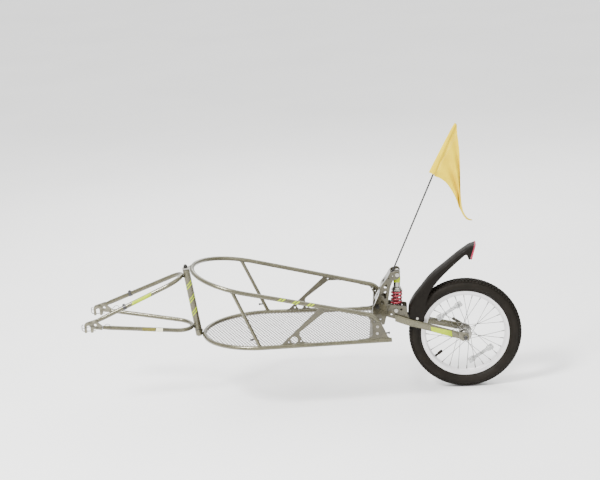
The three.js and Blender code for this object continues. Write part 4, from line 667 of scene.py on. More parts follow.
def spun(
    name: str, profile: Pairs, centre: Sequence[float], axis: Sequence[float], steps: int
) -> Piece:
    """Spins a profile round an axis, as on a lathe.

    Args:
        name: The piece's name.
        profile: Radius and place along the axis of each point, in millimetres.
        centre: A point of the axis, where the place along it is 0.
        axis: The axis's direction.
        steps: Faces round the axis.

    Returns:
        The closed body.
    """
    along = Vector(axis).normalized()
    side = along.orthogonal().normalized()
    points = [Vector(centre) + side * radius + along * reach for radius, reach in profile]
    ring = min(radius for radius, _ in profile) > 0
    piece = outline_piece(name, points, ring)
    with editing(piece):
        bpy.ops.mesh.spin(steps=steps, angle=2 * pi, center=at(centre), axis=along)
    close_seams(piece)
    return piece


def repeated_about(piece: Piece, count: int) -> None:
    """Copies a piece's shape evenly round the wheel's axis.

    Args:
        piece: The piece with one shape.
        count: How many shapes there are in the end.
    """
    with editing(piece):
        bpy.ops.mesh.spin(
            steps=count - 1,
            dupli=True,
            angle=2 * pi * (count - 1) / count,
            center=at(WHEEL),
            axis=ACROSS,
            use_auto_merge=False,
        )


def skinned(name: str, rows: Sequence[Places], capped: bool = False) -> Piece:
    """A surface through rows of points: a primitive grid whose points are moved.

    Args:
        name: The piece's name.
        rows: Rows of points in millimetres, all with the same count.
        capped: Whether the open ends are closed.

    Returns:
        The surface, with its seams merged.
    """
    deselect_all()
    bpy.ops.mesh.primitive_grid_add(
        x_subdivisions=len(rows[0]) - 1, y_subdivisions=len(rows) - 1, size=10 * MM
    )
    piece = bpy.context.object
    piece.name = name
    spots = [point for row in rows for point in row]
    for vertex, spot in zip(piece.data.vertices, spots):
        vertex.co = at(spot)
    close_seams(piece)
    if capped:
        with editing(piece):
            bpy.ops.mesh.fill_holes(sides=0)
        close_seams(piece)
    return piece


def plate_piece(name: str, outline: Places, depth: Sequence[float]) -> Piece:
    """A flat plate: an outline that is filled and extruded.

    Args:
        name: The piece's name.
        outline: The outline in millimetres.
        depth: The way it is extruded, in millimetres.

    Returns:
        The plate.
    """
    piece = outline_piece(name, outline)
    with editing(piece):
        bpy.ops.mesh.edge_face_add()
        bpy.ops.mesh.extrude_region_move(TRANSFORM_OT_translate={"value": at(depth)})
    close_seams(piece)
    return piece


def joined(pieces: Sequence[Piece], name: str) -> Piece:
    """Joins pieces into one.

    Args:
        pieces: The pieces, the first of which stays.
        name: The new name.

    Returns:
        The joined piece.
    """
    take_up(pieces[0])
    for piece in pieces:
        piece.select_set(True)
    bpy.ops.object.join()
    whole = bpy.context.object
    whole.name = name
    return whole


def merged_copy(node: str, name: str) -> Piece:
    """A copy of a node's mesh with its loose triangles joined into whole faces.

    Args:
        node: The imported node.
        name: The new piece's name.

    Returns:
        The copy, as an object of its own.
    """
    mesh = frame["nodes"][node].data.copy()
    mesh.name = name
    piece = linked(name, mesh)
    with editing(piece):
        bpy.ops.mesh.remove_doubles(threshold=SEAM_GAP * MM)
        bpy.ops.mesh.dissolve_limited(angle_limit=radians(0.6))
    return piece


# Lines that pieces follow


def fine_line(line: Places, spacing: float) -> list[Vector]:
    """The same line with points at even distances.

    Args:
        line: Its corner points in millimetres.
        spacing: The distance between two new points.

    Returns:
        The new points.
    """
    corners = [Vector(point) for point in line]
    lengths = [0.0]
    for a, b in zip(corners, corners[1:]):
        lengths.append(lengths[-1] + (b - a).length)
    count = max(round(lengths[-1] / spacing), 1)
    points = []
    k = 0
    for i in range(count + 1):
        reach = lengths[-1] * i / count
        while k < len(corners) - 2 and lengths[k + 1] < reach:
            k += 1
        span = lengths[k + 1] - lengths[k] or 1.0
        points.append(corners[k].lerp(corners[k + 1], (reach - lengths[k]) / span))
    return points


def distance_to_line(point: Vector, line: Sequence[Vector]) -> float:
    """The shortest distance from a point to a line of points.

    Args:
        point: The point.
        line: The line's points.

    Returns:
        The distance in the same unit.
    """
    least = 1e9
    for a, b in zip(line, line[1:]):
        side = b - a
        share = max(0.0, min(1.0, (point - a).dot(side) / side.length_squared))
        least = min(least, (point - a - side * share).length)
    return least


@dataclass
class SmoothLine:
    """A centripetal curve through points, which can be walked by its length."""

    points: list[Vector]

    def point(self, t: float) -> Vector:
        """The place at a share of the points' count."""
        last = len(self.points) - 1
        reach = min(max(t, 0.0), 1.0) * last
        k = min(int(reach), last - 1)
        w = reach - k
        p1, p2 = self.points[k], self.points[k + 1]
        p0 = self.points[k - 1] if k else p1 * 2 - p2
        p3 = self.points[k + 2] if k + 2 <= last else p2 * 2 - p1
        d0, d1, d2 = (sqrt((b - a).length) for a, b in ((p0, p1), (p1, p2), (p2, p3)))
        start = ((p1 - p0) / d0 - (p2 - p0) / (d0 + d1) + (p2 - p1) / d1) * d1
        stop = ((p2 - p1) / d1 - (p3 - p1) / (d1 + d2) + (p3 - p2) / d2) * d1
        bend = p1 * -3 + p2 * 3 - start * 2 - stop
        turn = p1 * 2 - p2 * 2 + start + stop
        return p1 + start * w + bend * w * w + turn * w * w * w

    def walked(self, count: int) -> list[Vector]:
        """The curve as points at even distances, count steps of them."""
        raw = [self.point(i / 200) for i in range(201)]
        whole = sum((b - a).length for a, b in zip(raw, raw[1:]))
        return fine_line(raw, whole / count)


def boxed_line(box: Sequence[float], shares: Pairs) -> SmoothLine:
    """A smooth line through places that are given as shares of a box.

    Args:
        box: Its front lower corner's X and Z, its length and its height, in millimetres.
        shares: The places along and up, from 0 to 1.

    Returns:
        The line, in the trailer's middle plane.
    """
    x, z, length, height = box
    return SmoothLine([Vector((x + u * length, 0, z + v * height)) for u, v in shares])


@dataclass(frozen=True)
class TubeLayout:
    """Where the frame's tubes run, in millimetres."""

    steer_foot: float = 382.4
    steer_lean: float = radians(6.6)
    floor_drop: float = 73.0
    rail_radius: float = 7.94
    stay_radius: float = 7.9
    yoke_radius: float = 12.7
    top_half: float = 197.0
    top_tip_height: float = 248.0
    top_rear: tuple[float, float] = (1005.0, 25.0)
    rear_half: float = 178.4
    bottom_half: float = 203.0
    bottom_reach: float = 221.0
    bottom_end: float = 1084.0
    tail_radius: float = 50.0
    tail_angle: float = radians(36)
    tail_length: float = 14.0
    tail_steps: int = 12
    steps: int = 72
    collar_radius: float = 13.2
    weld_gap: float = 0.3
    tip_reach: float = 24.5
    loop_half: float = 60.0
    dropout_half: float = 100.0
    stay_splay: float = 0.16
    upper_stay_start: tuple[float, float] = (34.0, 21.9)
    upper_stay_tip: float = 222.5
    lower_stay_start: tuple[float, float] = (50.0, -5.0)
    lower_stay_tip: float = 28.0
    brace_foot_x: float = 688.0
    strut_head_x: float = 535.0
    strut_foot_x: float = 622.0
    strut_radius: float = 6.35

    def hairpin(
        self, tip: float, reach: float, half: float, end: float, end_half: float
    ) -> list[tuple[float, float]]:
        """A bend with two straight legs, seen from above.

        Args:
            tip: Where the bend's tip is along the trailer.
            reach: How far the bend's middle lies behind its tip.
            half: The bend's half width.
            end: Where the legs end.
            end_half: Half the distance between the legs' ends.

        Returns:
            The line's places along and across the trailer.
        """
        side = 1 if end > tip else -1
        centre = tip + side * reach
        squash = reach / half
        leg = (end - centre) * side / squash
        first = atan2(end_half, leg) + acos(half / hypot(leg, end_half))
        line = [(end, end_half)]
        for i in range(self.steps + 1):
            a = first + (2 * pi - 2 * first) * i / self.steps
            line.append((centre + side * squash * half * cos(a), half * sin(a)))
        line.append((end, -end_half))
        return line

    def on_steer(self, reach: float, height: float) -> Vector:
        """A place beside the steering axis, height above its foot."""
        c, s = cos(self.steer_lean), sin(self.steer_lean)
        return Vector(
            (self.steer_foot + reach * c - height * s, 0, -self.floor_drop + reach * s + height * c)
        )

    def top_height(self, x: float) -> float:
        """The top rail's height at x."""
        tip = self.on_steer(self.tip_reach, self.top_tip_height)
        return tip.z + (x - tip.x) * (self.top_rear[1] - tip.z) / (self.top_rear[0] - tip.x)

    def tail(self, across: float) -> list[Vector]:
        """The rear end of a top rail leg, which bends down."""
        x0, z0 = self.top_rear
        start = atan((z0 - self.top_height(0)) / x0)
        points = []
        for i in range(1, self.tail_steps + 1):
            turned = self.tail_angle * i / self.tail_steps
            x = x0 + self.tail_radius * (sin(turned - start) + sin(start))
            z = z0 - self.tail_radius * (cos(start) - cos(turned - start))
            points.append(Vector((x, across, z)))
        fall = self.tail_angle - start
        last = points[-1]
        points.append(last + Vector((cos(fall), 0, -sin(fall))) * self.tail_length)
        return points

    def top_rail(self) -> list[Vector]:
        """The top rail's middle line."""
        tip = self.on_steer(self.tip_reach, self.top_tip_height).x
        flat = self.hairpin(tip, self.top_half, self.top_half, self.top_rear[0], self.rear_half)
        line = [Vector((x, y, self.top_height(x))) for x, y in flat]
        return self.tail(self.rear_half)[::-1] + line + self.tail(-self.rear_half)

    def bottom_rail(self) -> list[Vector]:
        """The bottom rail's middle line."""
        reach = self.collar_radius + self.rail_radius + self.weld_gap
        tip = self.steer_foot + reach / cos(self.steer_lean)
        flat = self.hairpin(
            tip, self.bottom_reach, self.bottom_half, self.bottom_end, self.rear_half
        )
        return [Vector((x, y, -self.floor_drop)) for x, y in flat]

    def stay(self, start: tuple[float, float], tip_height: float) -> list[Vector]:
        """One bent tube of the yoke: two stays and the bend round the steering tube.

        Args:
            start: Where it starts, along the trailer and up.
            tip_height: How high up the steering axis its bend lies.

        Returns:
            The middle line.
        """
        x0, z0 = start
        reach = self.yoke_radius + self.stay_radius + self.weld_gap
        tip = self.on_steer(-reach, tip_height)
        slope = (tip.z - z0) / (tip.x - x0)
        end_half = self.dropout_half - x0 * self.stay_splay / 2
        flat = self.hairpin(tip.x, self.loop_half, self.loop_half, x0, end_half)
        return [Vector((x, y, z0 + (x - x0) * slope)) for x, y in flat]

    def upper_stay(self) -> list[Vector]:
        """The yoke's upper loop."""
        return self.stay(self.upper_stay_start, self.upper_stay_tip)

    def lower_stay(self) -> list[Vector]:
        """The yoke's lower loop."""
        return self.stay(self.lower_stay_start, self.lower_stay_tip)

    def top_point(self, x: float, side: int) -> Vector:
        """The top rail's middle at x, on the side given as -1 or 1."""
        return Vector((x, side * self.half_width(self.top_rail(), x), self.top_height(x)))

    def strut(self, side: int) -> tuple[Vector, Vector]:
        """The head and the foot of one side's front strut, in the rails' middles."""
        half = self.half_width(self.bottom_rail(), self.strut_foot_x)
        foot = Vector((self.strut_foot_x, side * half, -self.floor_drop))
        return self.top_point(self.strut_head_x, side), foot

    def half_width(self, line: Sequence[Vector], x: float) -> float:
        """Half the distance between a rail's legs at x."""
        for a, b in zip(line, line[1:]):
            if a.y > 0 and a.x >= x >= b.x:
                return a.y + (b.y - a.y) * (a.x - x) / max(a.x - b.x, 1e-9)
        return 0.0

    def side_y(self, x: float) -> float:
        """How far from the middle the side plates stand at x."""
        top, bottom = self.top_rail(), self.bottom_rail()

        def mean(place: float) -> float:
            """The mean of both rails' half widths."""
            return (self.half_width(top, place) + self.half_width(bottom, place)) / 2

        start, stop = self.brace_foot_x, self.top_rear[0]
        front, rear = mean(start), mean(stop)
        return front + (x - start) / (stop - start) * (rear - front)


LAYOUT = TubeLayout()
WHEEL = Vector((1345.0, 0.0, -118.0))
SHOCK_FOOT = Vector((1102.0, 0.0, -15.0))
SHOCK_LEAN = atan2(10, 135)
MAST_STEPS = 24
SPOKES = 28
SPOKE_SEAT = 140.2


def on_shock(point: Sequence[float]) -> Vector:
    """A place in the shock's own frame, upright from its lower eye, in the trailer's frame."""
    x, y, z = point
    c, s = cos(SHOCK_LEAN), sin(SHOCK_LEAN)
    return SHOCK_FOOT + Vector((x * c + z * s, y, -x * s + z * c))


# Camera, floor and lights


@dataclass
class PhotoCamera:
    """The camera that stands where the photograph's camera stood."""

    focal_px: float = 1717.834
    azimuth_deg: float = 4.1131
    elevation_deg: float = 15.7665
    roll_deg: float = -4.0
    distance_mm: float = 6231.61
    wheel_px: tuple[float, float] = (465.134, 331.805)
    picture_px: tuple[int, int] = (600, 480)
    sensor_mm: float = 36.0

    def build(self) -> None:
        """Creates the camera and makes it the scene's camera."""
        a, e, r = (radians(v) for v in (self.azimuth_deg, self.elevation_deg, self.roll_deg))
        ahead = Vector((sin(-a) * cos(e), cos(a) * cos(e), -sin(e)))
        right = ahead.cross(Vector((0, 0, 1))).normalized()
        up = right.cross(ahead)
        right, up = cos(r) * right + sin(r) * up, cos(r) * up - sin(r) * right
        across = self.wheel_px[0] - self.picture_px[0] / 2
        drop = self.wheel_px[1] - self.picture_px[1] / 2
        seen = Vector((across / self.focal_px, -drop / self.focal_px, 1)).normalized()
        seen *= self.distance_mm
        place = WHEEL - (right * seen.x + up * seen.y + ahead * seen.z)
        data = bpy.data.cameras.new("photo_camera")
        data.sensor_width = self.sensor_mm
        data.lens = self.sensor_mm * self.focal_px / self.picture_px[0]
        data.clip_end = 200
        camera = linked("photo_camera", data)
        turn = Matrix((right, up, -ahead)).transposed()
        camera.matrix_world = Matrix.Translation(place * MM) @ turn.to_4x4()
        bpy.context.scene.camera = camera


@dataclass
class Studio:
    """A plain pale floor under soft light."""

    floor_height: float = -321.4
    floor_half: float = 30000.0
    aim: Point = (750, 0, 0)

    def build(self) -> None:
        """Lays the floor and hangs the lights."""
        deselect_all()
        bpy.ops.mesh.primitive_plane_add(
            size=2 * self.floor_half * MM, location=(0, 0, self.floor_height * MM)
        )
        floor = bpy.context.object
        floor.name = "studio_floor"
        paper = Finish(
            "studio_paper", "f7f7f6", "f3f3f2", roughness=0.85, cloud_mm=900, specular=0.15
        )
        floor.data.materials.append(paper.material())
        self.sky()
        self.lamp("key_light", (-1300, -2200, 3600), 1100, 400)
        self.lamp("fill_light", (2600, -1800, 1900), 2200, 30)
        self.lamp("back_light", (600, 2600, 2400), 2400, 90)

    def sky(self) -> None:
        """Lights the scene from all round with a white that grows stronger upwards."""
        world = bpy.data.worlds.new("studio_sky")
        bpy.context.scene.world = world
        world.use_nodes = True
        tree = world.node_tree
        sky = tree.nodes["Background"]
        sky.inputs["Color"].default_value = (1, 1, 1, 1)
        way = add_node(tree, "ShaderNodeTexCoord").outputs["Generated"]
        parts = add_node(tree, "ShaderNodeSeparateXYZ", {"Vector": way})
        rise = {"Value": parts.outputs["Z"], "From Max": 0.9, "To Min": 0.7, "To Max": 2.1}
        lift = add_node(tree, "ShaderNodeMapRange", rise)
        tree.links.new(lift.outputs[0], sky.inputs["Strength"])

    def lamp(self, name: str, place: Point, size: float, watts: float) -> None:
        """Hangs one square soft light that looks at the middle of the trailer.

        Args:
            name: The lamp's name.
            place: Where it hangs, in millimetres.
            size: Its side in millimetres.
            watts: Its power.
        """
        data = bpy.data.lights.new(name, "AREA")
        data.size = size * MM
        data.energy = watts
        lamp = linked(name, data)
        lamp.location = at(place)
        aim = at(self.aim) - lamp.location
        lamp.rotation_euler = aim.to_track_quat("-Z", "Y").to_euler()


# Cords


@dataclass
class PinTethers:
    """The plastic coated wire that keeps each retaining pin on its stay."""

    diameter: float = 2.0
    beside: float = 2.8
    grip: float = 4.0
    pin_across: float = 100.0
    foot_share: float = 0.11
    steps: int = 32
    sag: tuple[tuple[float, float, float], ...] = (
        (-16, 6.5, -2), (0, 7.5, 3), (22, 7, 2), (40, 6, -4), (56, 6, 2), (66, 6.5, 10), (76, 6, 9),
    )

    def route(self, side: int) -> list[Vector]:
        """The wire's middle line.

        Args:
            side: -1 for the left wire, 1 for the right one.

        Returns:
            Its points from the pin to the stay, in millimetres.
        """
        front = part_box("pin_tether_left")[0][0] / MM
        stay = LAYOUT.lower_stay()
        foot = stay[-1].lerp(stay[-2], self.foot_share)
        gap = LAYOUT.stay_radius + self.diameter / 2 + LAYOUT.weld_gap
        seat = foot - Vector((0, gap, 0))
        points = [Vector((front + 1.2, -self.pin_across - self.beside, 0))]
        points += [Vector((x, -self.pin_across - out, z)) for x, out, z in self.sag]
        points += [seat + Vector((2, -2, 5)), seat]
        line = SmoothLine(points).walked(self.steps)
        return [Vector((p.x, p.y * -side, p.z)) for p in line]

    def build(self) -> None:
        """Lays both wires, from pin to stay."""
        for side, label in SIDES:
            line = self.route(side)
            node = f"pin_tether_{label}"
            wire = swept_tube(f"tether_wire_{label}", line, self.diameter / 2, 12)
            finish_piece(wire, None, COATED_WIRE, [node])
            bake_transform(wire)


# Bent tubes of the yoke and the cargo frame


@dataclass
class BentTubes:
    """The rails and the yoke's two loops, each bent from one tube."""

    sides: int = 32
    swage: float = 18.0
    swaged_radius_share: float = 0.86
    end_step: float = 3.0
    edge: float = 1.2

    def radii(self, line: Sequence[Vector], swaged: bool) -> list[float]:
        """The share of its full radius that a tube has at each point."""
        reach = 0.0
        lengths = [reach := reach + (b - a).length for a, b in zip(line, line[1:])]
        lengths = [0.0, *lengths]
        whole = lengths[-1]
        shares = []
        for spot in lengths:
            near = min(spot, whole - spot)
            drop = 1 - self.swaged_radius_share if swaged else 0.0
            shares.append(1 - drop * max(0.0, 1 - near / self.swage) ** 0.5)
        return shares

    def tube(self, node: str, line: Sequence[Vector], radius: float, swaged: bool) -> None:
        """Bends one tube and dresses it.

        Args:
            node: The node that it stands for.
            line: Its middle line.
            radius: Its radius.
            swaged: Whether its ends are drawn in.
        """
        ends = [fine_line(line[:2], self.end_step), fine_line(line[-2:], self.end_step)]
        whole = ends[0][:-1] + list(line[1:-1]) + ends[1]
        shares = self.radii(whole, swaged)
        piece = swept_tube(f"{node}_bent", whole, radius, self.sides, radii=shares)
        soften_edges(piece, self.edge)
        finish_piece(piece, body_of(node), FRAME_PAINT, [node])

    def build(self) -> None:
        """Bends all four tubes."""
        rail, stay = LAYOUT.rail_radius, LAYOUT.stay_radius
        self.tube("top_rail", LAYOUT.top_rail(), rail, False)
        self.tube("bottom_rail", LAYOUT.bottom_rail(), rail, False)
        self.tube("yoke_upper_loop", LAYOUT.upper_stay(), stay, True)
        self.tube("yoke_lower_loop", LAYOUT.lower_stay(), stay, True)


# Floor


@dataclass
class FloorNet:
    """Expanded metal: wavy strands that meet at short bonds, slit and stretched from a sheet."""

    pitch: float = 12.0
    cell: float = 27.0
    bond: float = 4.0
    strand: float = 2.6
    wall: float = 1.2
    tilt: float = radians(28)
    rear: float = 1016.0
    front: float = 404.0
    middle: float = 700.0
    edge_share: float = 0.55
    edge_step: float = 6.0
    cut_step: float = 14.0

    def outline(self) -> list[Vector]:
        """The floor's outline just inside the bottom rail, seen from above."""
        reach = LAYOUT.rail_radius * self.edge_share
        rail = LAYOUT.bottom_rail()
        half = LAYOUT.half_width(rail, self.rear)
        first = Vector((self.rear, half, -LAYOUT.floor_drop))
        last = Vector((self.rear, -half, -LAYOUT.floor_drop))
        inside = [p for p in rail if p.x < self.rear]
        line = fine_line([first, *inside, last], self.edge_step)
        ring = []
        for before, here, after in zip(line, line[1:], line[2:]):
            along = (after - before).normalized()
            ring.append(here + Vector((-along.y, along.x, 0)) * reach)
        for end, k in ((0, 0), (len(ring), -1)):
            ring.insert(end, Vector((self.rear, ring[k].y, ring[k].z)))
        return ring

    def strand_line(self, phase: int) -> list[Vector]:
        """One strand across the floor.

        Args:
            phase: 1 or -1, which way it waves first.

        Returns:
            Its points in millimetres.
        """
        swing = (self.pitch / 2 - self.strand * 0.92) / 2
        points = []
        steps = round(2 * LAYOUT.bottom_half / self.cell) + 2
        for k in range(-steps, steps + 1):
            y = k * self.cell / 2
            x = swing * phase * (1 if k % 2 else -1)
            points += [Vector((x, y - self.bond / 2, 0)), Vector((x, y + self.bond / 2, 0))]
        return [p for p in points if abs(p.y) < LAYOUT.bottom_half]

    def strand_rows(self, phase: int, start: float) -> list[list[Vector]]:
        """The strand's tilted flat section along its line."""
        wide = Vector((cos(self.tilt), 0, sin(self.tilt))) * self.strand / 2
        thick = Vector((-sin(self.tilt), 0, cos(self.tilt))) * self.wall / 2
        rows = []
        for point in self.strand_line(phase):
            middle = point + Vector((start, 0, -LAYOUT.floor_drop))
            corners = [wide + thick, thick - wide, -wide - thick, wide - thick]
            rows.append([middle + corner for corner in (*corners, corners[0])])
        return rows

    def build(self) -> None:
        """Stretches the strands, repeats them and trims them to the rail."""
        strands = []
        for phase, start in ((1, self.front), (-1, self.front + self.pitch / 2)):
            piece = skinned("floor_strand", self.strand_rows(phase, start), capped=True)
            copies = piece.modifiers.new("repeat", "ARRAY")
            copies.use_relative_offset = False
            copies.use_constant_offset = True
            copies.constant_offset_displace = (self.pitch * MM, 0, 0)
            copies.count = int((self.rear - start) / self.pitch) + 1
            apply_modifiers(piece)
            strands.append(piece)
        net = joined(strands, "floor_net")
        self.trim(net)
        finish_piece(net, "cargo_frame", NET_STEEL, ["floor_mesh"], smooth_deg=30)

    def trim(self, net: Piece) -> None:
        """Cuts the net along the outline, one straight cut after the other."""
        ring = fine_line(self.outline(), self.cut_step)
        ring.append(ring[0])
        with editing(net):
            for a, b in zip(ring, ring[1:]):
                along = b - a
                out = Vector((along.y, -along.x, 0)).normalized()
                if out.dot(a - Vector((self.middle, 0, a.z))) < 0:
                    out = -out
                bpy.ops.mesh.select_all(action="SELECT")
                bpy.ops.mesh.bisect(plane_co=at(a), plane_no=out, use_fill=True, clear_outer=True)


# Shock


@dataclass
class ShockSpring:
    """The coil: one round wire whose end turns lie close to the seats."""

    radius: float = 17.2
    wire: float = 3.9
    turns: float = 4.25
    low: float = 19.2
    high: float = 64.8
    seats: tuple[float, float] = (15.0, 69.0)
    stroke: float = 16.3
    ease: float = 0.14
    end_rise: float = 0.55
    steps_per_turn: int = 40

    def rise(self, t: float) -> float:
        """The share of the height that the wire has reached."""
        lead = self.ease * self.end_rise
        if t < self.ease:
            return t * self.end_rise
        if t > 1 - self.ease:
            return 1 - (1 - t) * self.end_rise
        return lead + (t - self.ease) * (1 - 2 * lead) / (1 - 2 * self.ease)

    def build(self) -> None:
        """Winds the wire and powder coats it."""
        count = round(self.turns * self.steps_per_turn)
        line = []
        for i in range(count + 1):
            a = 2 * pi * self.turns * i / count
            height = self.low + (self.high - self.low) * self.rise(i / count)
            line.append(on_shock((self.radius * cos(a), self.radius * sin(a), height)))
        shares = [1.0] * len(line)
        shares[0] = shares[-1] = 0.72
        wound = swept_tube("shock_coil", line, self.wire, 20, radii=shares)
        finish_piece(wound, body_of("coil_spring"), SPRING_RED, ["coil_spring"])
        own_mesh(wound)


@dataclass
class ShockTrim:
    """The printed band round the shock's head."""

    def build(self) -> None:
        """Puts the lime band round the body's head."""
        profile = [(12.05, 98.8), (12.25, 99.1), (12.25, 117.3), (12.05, 117.6), (11.8, 108.0)]
        axis = on_shock((0, 0, 1)) - SHOCK_FOOT
        band = spun("shock_band", profile, SHOCK_FOOT, axis, 40)
        finish_piece(band, body_of("shock_body"), LIME_VINYL)


# Flag


def mast_line() -> list[Vector]:
    """The mast's middle line from its foot to its top."""
    foot, middle, top = Vector((1071, 0, 70)), Vector((1255, 0, 468)), Vector((1344, 0, 649))
    start = (middle - foot).normalized()
    span = (top - middle).length
    points = [foot, middle]
    for k in range(1, MAST_STEPS + 1):
        t = k / MAST_STEPS
        points.append((middle + start * span * t).lerp(top, t * t))
    return points


@dataclass
class FlagMast:
    """The glass fibre whip that carries the flag."""

    radius: float = 3.0

    def build(self) -> None:
        """Pulls the rod and rounds its ends."""
        line = fine_line(mast_line(), 4)
        shares = [1.0] * len(line)
        shares[-1] = shares[0] = 0.8
        rod = swept_tube("flag_whip", line, self.radius, 20, radii=shares)
        finish_piece(rod, "mast", GLASS_FIBRE, ["flag_mast"])


@dataclass
class SafetyFlag:
    """The pennant: a sleeve on the mast, cloth that hangs in folds and a thin tail."""

    box: tuple[float, float, float, float] = (1241, 287, 150, 358)
    free: tuple[tuple[float, float], ...] = (
        (0.67, 0.995), (0.72, 0.861), (0.74, 0.728), (0.74, 0.553), (0.735, 0.3), (0.79, 0.165),
        (0.88, 0.085), (1, 0.04),
    )
    low: tuple[tuple[float, float], ...] = (
        (0, 0.54), (0.093, 0.506), (0.287, 0.464), (0.433, 0.403), (0.63, 0.242), (0.68, 0.12),
        (0.76, 0.035), (0.867, 0), (1, 0.02),
    )
    tip: float = 0.985
    fold_depth: float = 12.0
    tail_start: float = 0.52
    tail_turn: float = 1.12
    folds: float = 2.4
    sleeve: float = 4.3
    hem_length: float = 196.0
    corner_reach: float = 13.0
    across: int = 56
    along: int = 44
    wraps: int = 24
    edge_steps: int = 400
    seam_turn: float = 0.1
    cloth_gap: float = 0.6
    pull_share: float = 0.15
    thread: float = 0.28
    cloth: float = 0.5

    def fold(self, u: float, v: float) -> float:
        """How far the cloth stands out of its plane."""
        grown = min(u / 0.4, 1) * (1 - u * 0.85)
        wide = self.fold_depth * grown * sin(2 * pi * self.folds * v * (1 - u * 0.333))
        small = 1.1 * min(u / 0.2, 1) * (1 - u) * sin(9 * v + 14 * u) * sin(5 + 11 * u)
        return wide * 0.94 + small

    def turn(self, u: float) -> float:
        """How far the tail has turned its edge to the side, in radians."""
        t = min(max((u - self.tail_start) / 0.3, 0), 1)
        return self.tail_turn * t * t * (3 - 2 * t)

    def hem(self, v: float) -> tuple[Vector, Vector]:
        """The mast's middle and the way out to the cloth at a share of the hem."""
        line = fine_line(mast_line(), 2)
        whole = len(line) - 1
        spot = whole - self.hem_length / 2 * v
        k = min(int(spot), whole - 1)
        slope = (line[k + 1] - line[k]).normalized()
        return line[k].lerp(line[k + 1], spot - k), Vector((slope.z, 0, -slope.x))

    def wrapped(self, v: float) -> list[Vector]:
        """The cloth's turn round the mast at a share of the hem."""
        middle, out = self.hem(v)
        row = []
        for k in range(self.wraps, 0, -1):
            a = 2 * pi * k / self.wraps - self.seam_turn
            far = self.sleeve + v * self.corner_reach * 0.96 if cos(a) < 0 else self.sleeve
            row.append(middle + out * cos(a) * far + Vector((0, -self.sleeve * sin(a), 0)))
        return row

    def hanging(self, v: float, free: list[Vector], low: list[Vector]) -> list[Vector]:
        """The cloth from the mast to the tip at a share of the hem.

        Args:
            v: The share, from 0 at the top to 1.
            free: The upper free edge.
            low: The lower free edge.

        Returns:
            The row's points in millimetres.
        """
        middle, out = self.hem(v)
        shift = middle + out * (self.sleeve + self.cloth_gap) - free[0].lerp(low[0], v)
        row = []
        for i in range(self.across + 1):
            u = i / self.across * self.tip
            ends = []
            for edge in (free, low):
                reach = u * (len(edge) - 1)
                k = min(int(reach), len(edge) - 2)
                ends.append(edge[k].lerp(edge[k + 1], reach - k))
            place, other = ends
            half = (other - place) / 2
            turn = self.turn(u)
            aside = (2 * v - 1) * half.length * sin(turn)
            place += half * (1 + (2 * v - 1) * cos(turn))
            place += shift * max(0.0, 1 - u / self.pull_share) ** 2
            row.append(Vector((place.x, self.fold(u, v) + aside, place.z)))
        return row

    def seams(self, rows: list[list[Vector]]) -> list[list[Vector]]:
        """Where thread runs: two seams along the mast, then one along each long edge."""
        first = self.wraps + 4
        seams = [[row[k] for row in rows] for k in (first, first + 1)]
        for edge, inner in ((rows[0], rows[1]), (rows[-1], rows[-2])):
            pairs = zip(edge[self.wraps + 2 :], inner[self.wraps + 2 :])
            seams.append([p.lerp(q, 0.4) for p, q in pairs])
        return seams

    def build(self) -> None:
        """Sews the flag, folds it and hangs it on the mast."""
        free, low = (
            boxed_line(self.box, edge).walked(self.edge_steps) for edge in (self.free, self.low)
        )
        shares = [j / self.along for j in range(self.along + 1)]
        rows = [self.wrapped(v) + self.hanging(v, free, low) for v in shares]
        cloth = skinned("flag_cloth", rows)
        thickened(cloth, self.cloth)
        finish_piece(cloth, "mast", FLAG_NYLON, ["flag"], smooth_deg=70)
        runs = [run for seam in self.seams(rows) for run in self.stitch(seam)]
        stitches = bars("flag_stitching", runs, self.thread)
        finish_piece(stitches, "mast", HEM_THREAD)

    def stitch(self, seam: Sequence[Vector]) -> list[list[Vector]]:
        """Lays stitches along a seam, on both faces of the cloth.

        Args:
            seam: The seam's line.

        Returns:
            One short line for each stitch.
        """
        line = fine_line(seam, 1.5)
        runs = []
        for i in range(0, len(line) - 3, 3):
            for face in (-0.36, 0.36):
                lift = Vector((0, face, 0))
                runs.append([line[i] + lift * 0.3, line[i + 1] + lift, line[i + 2] + lift * 0.3])
        return runs


# Wheel


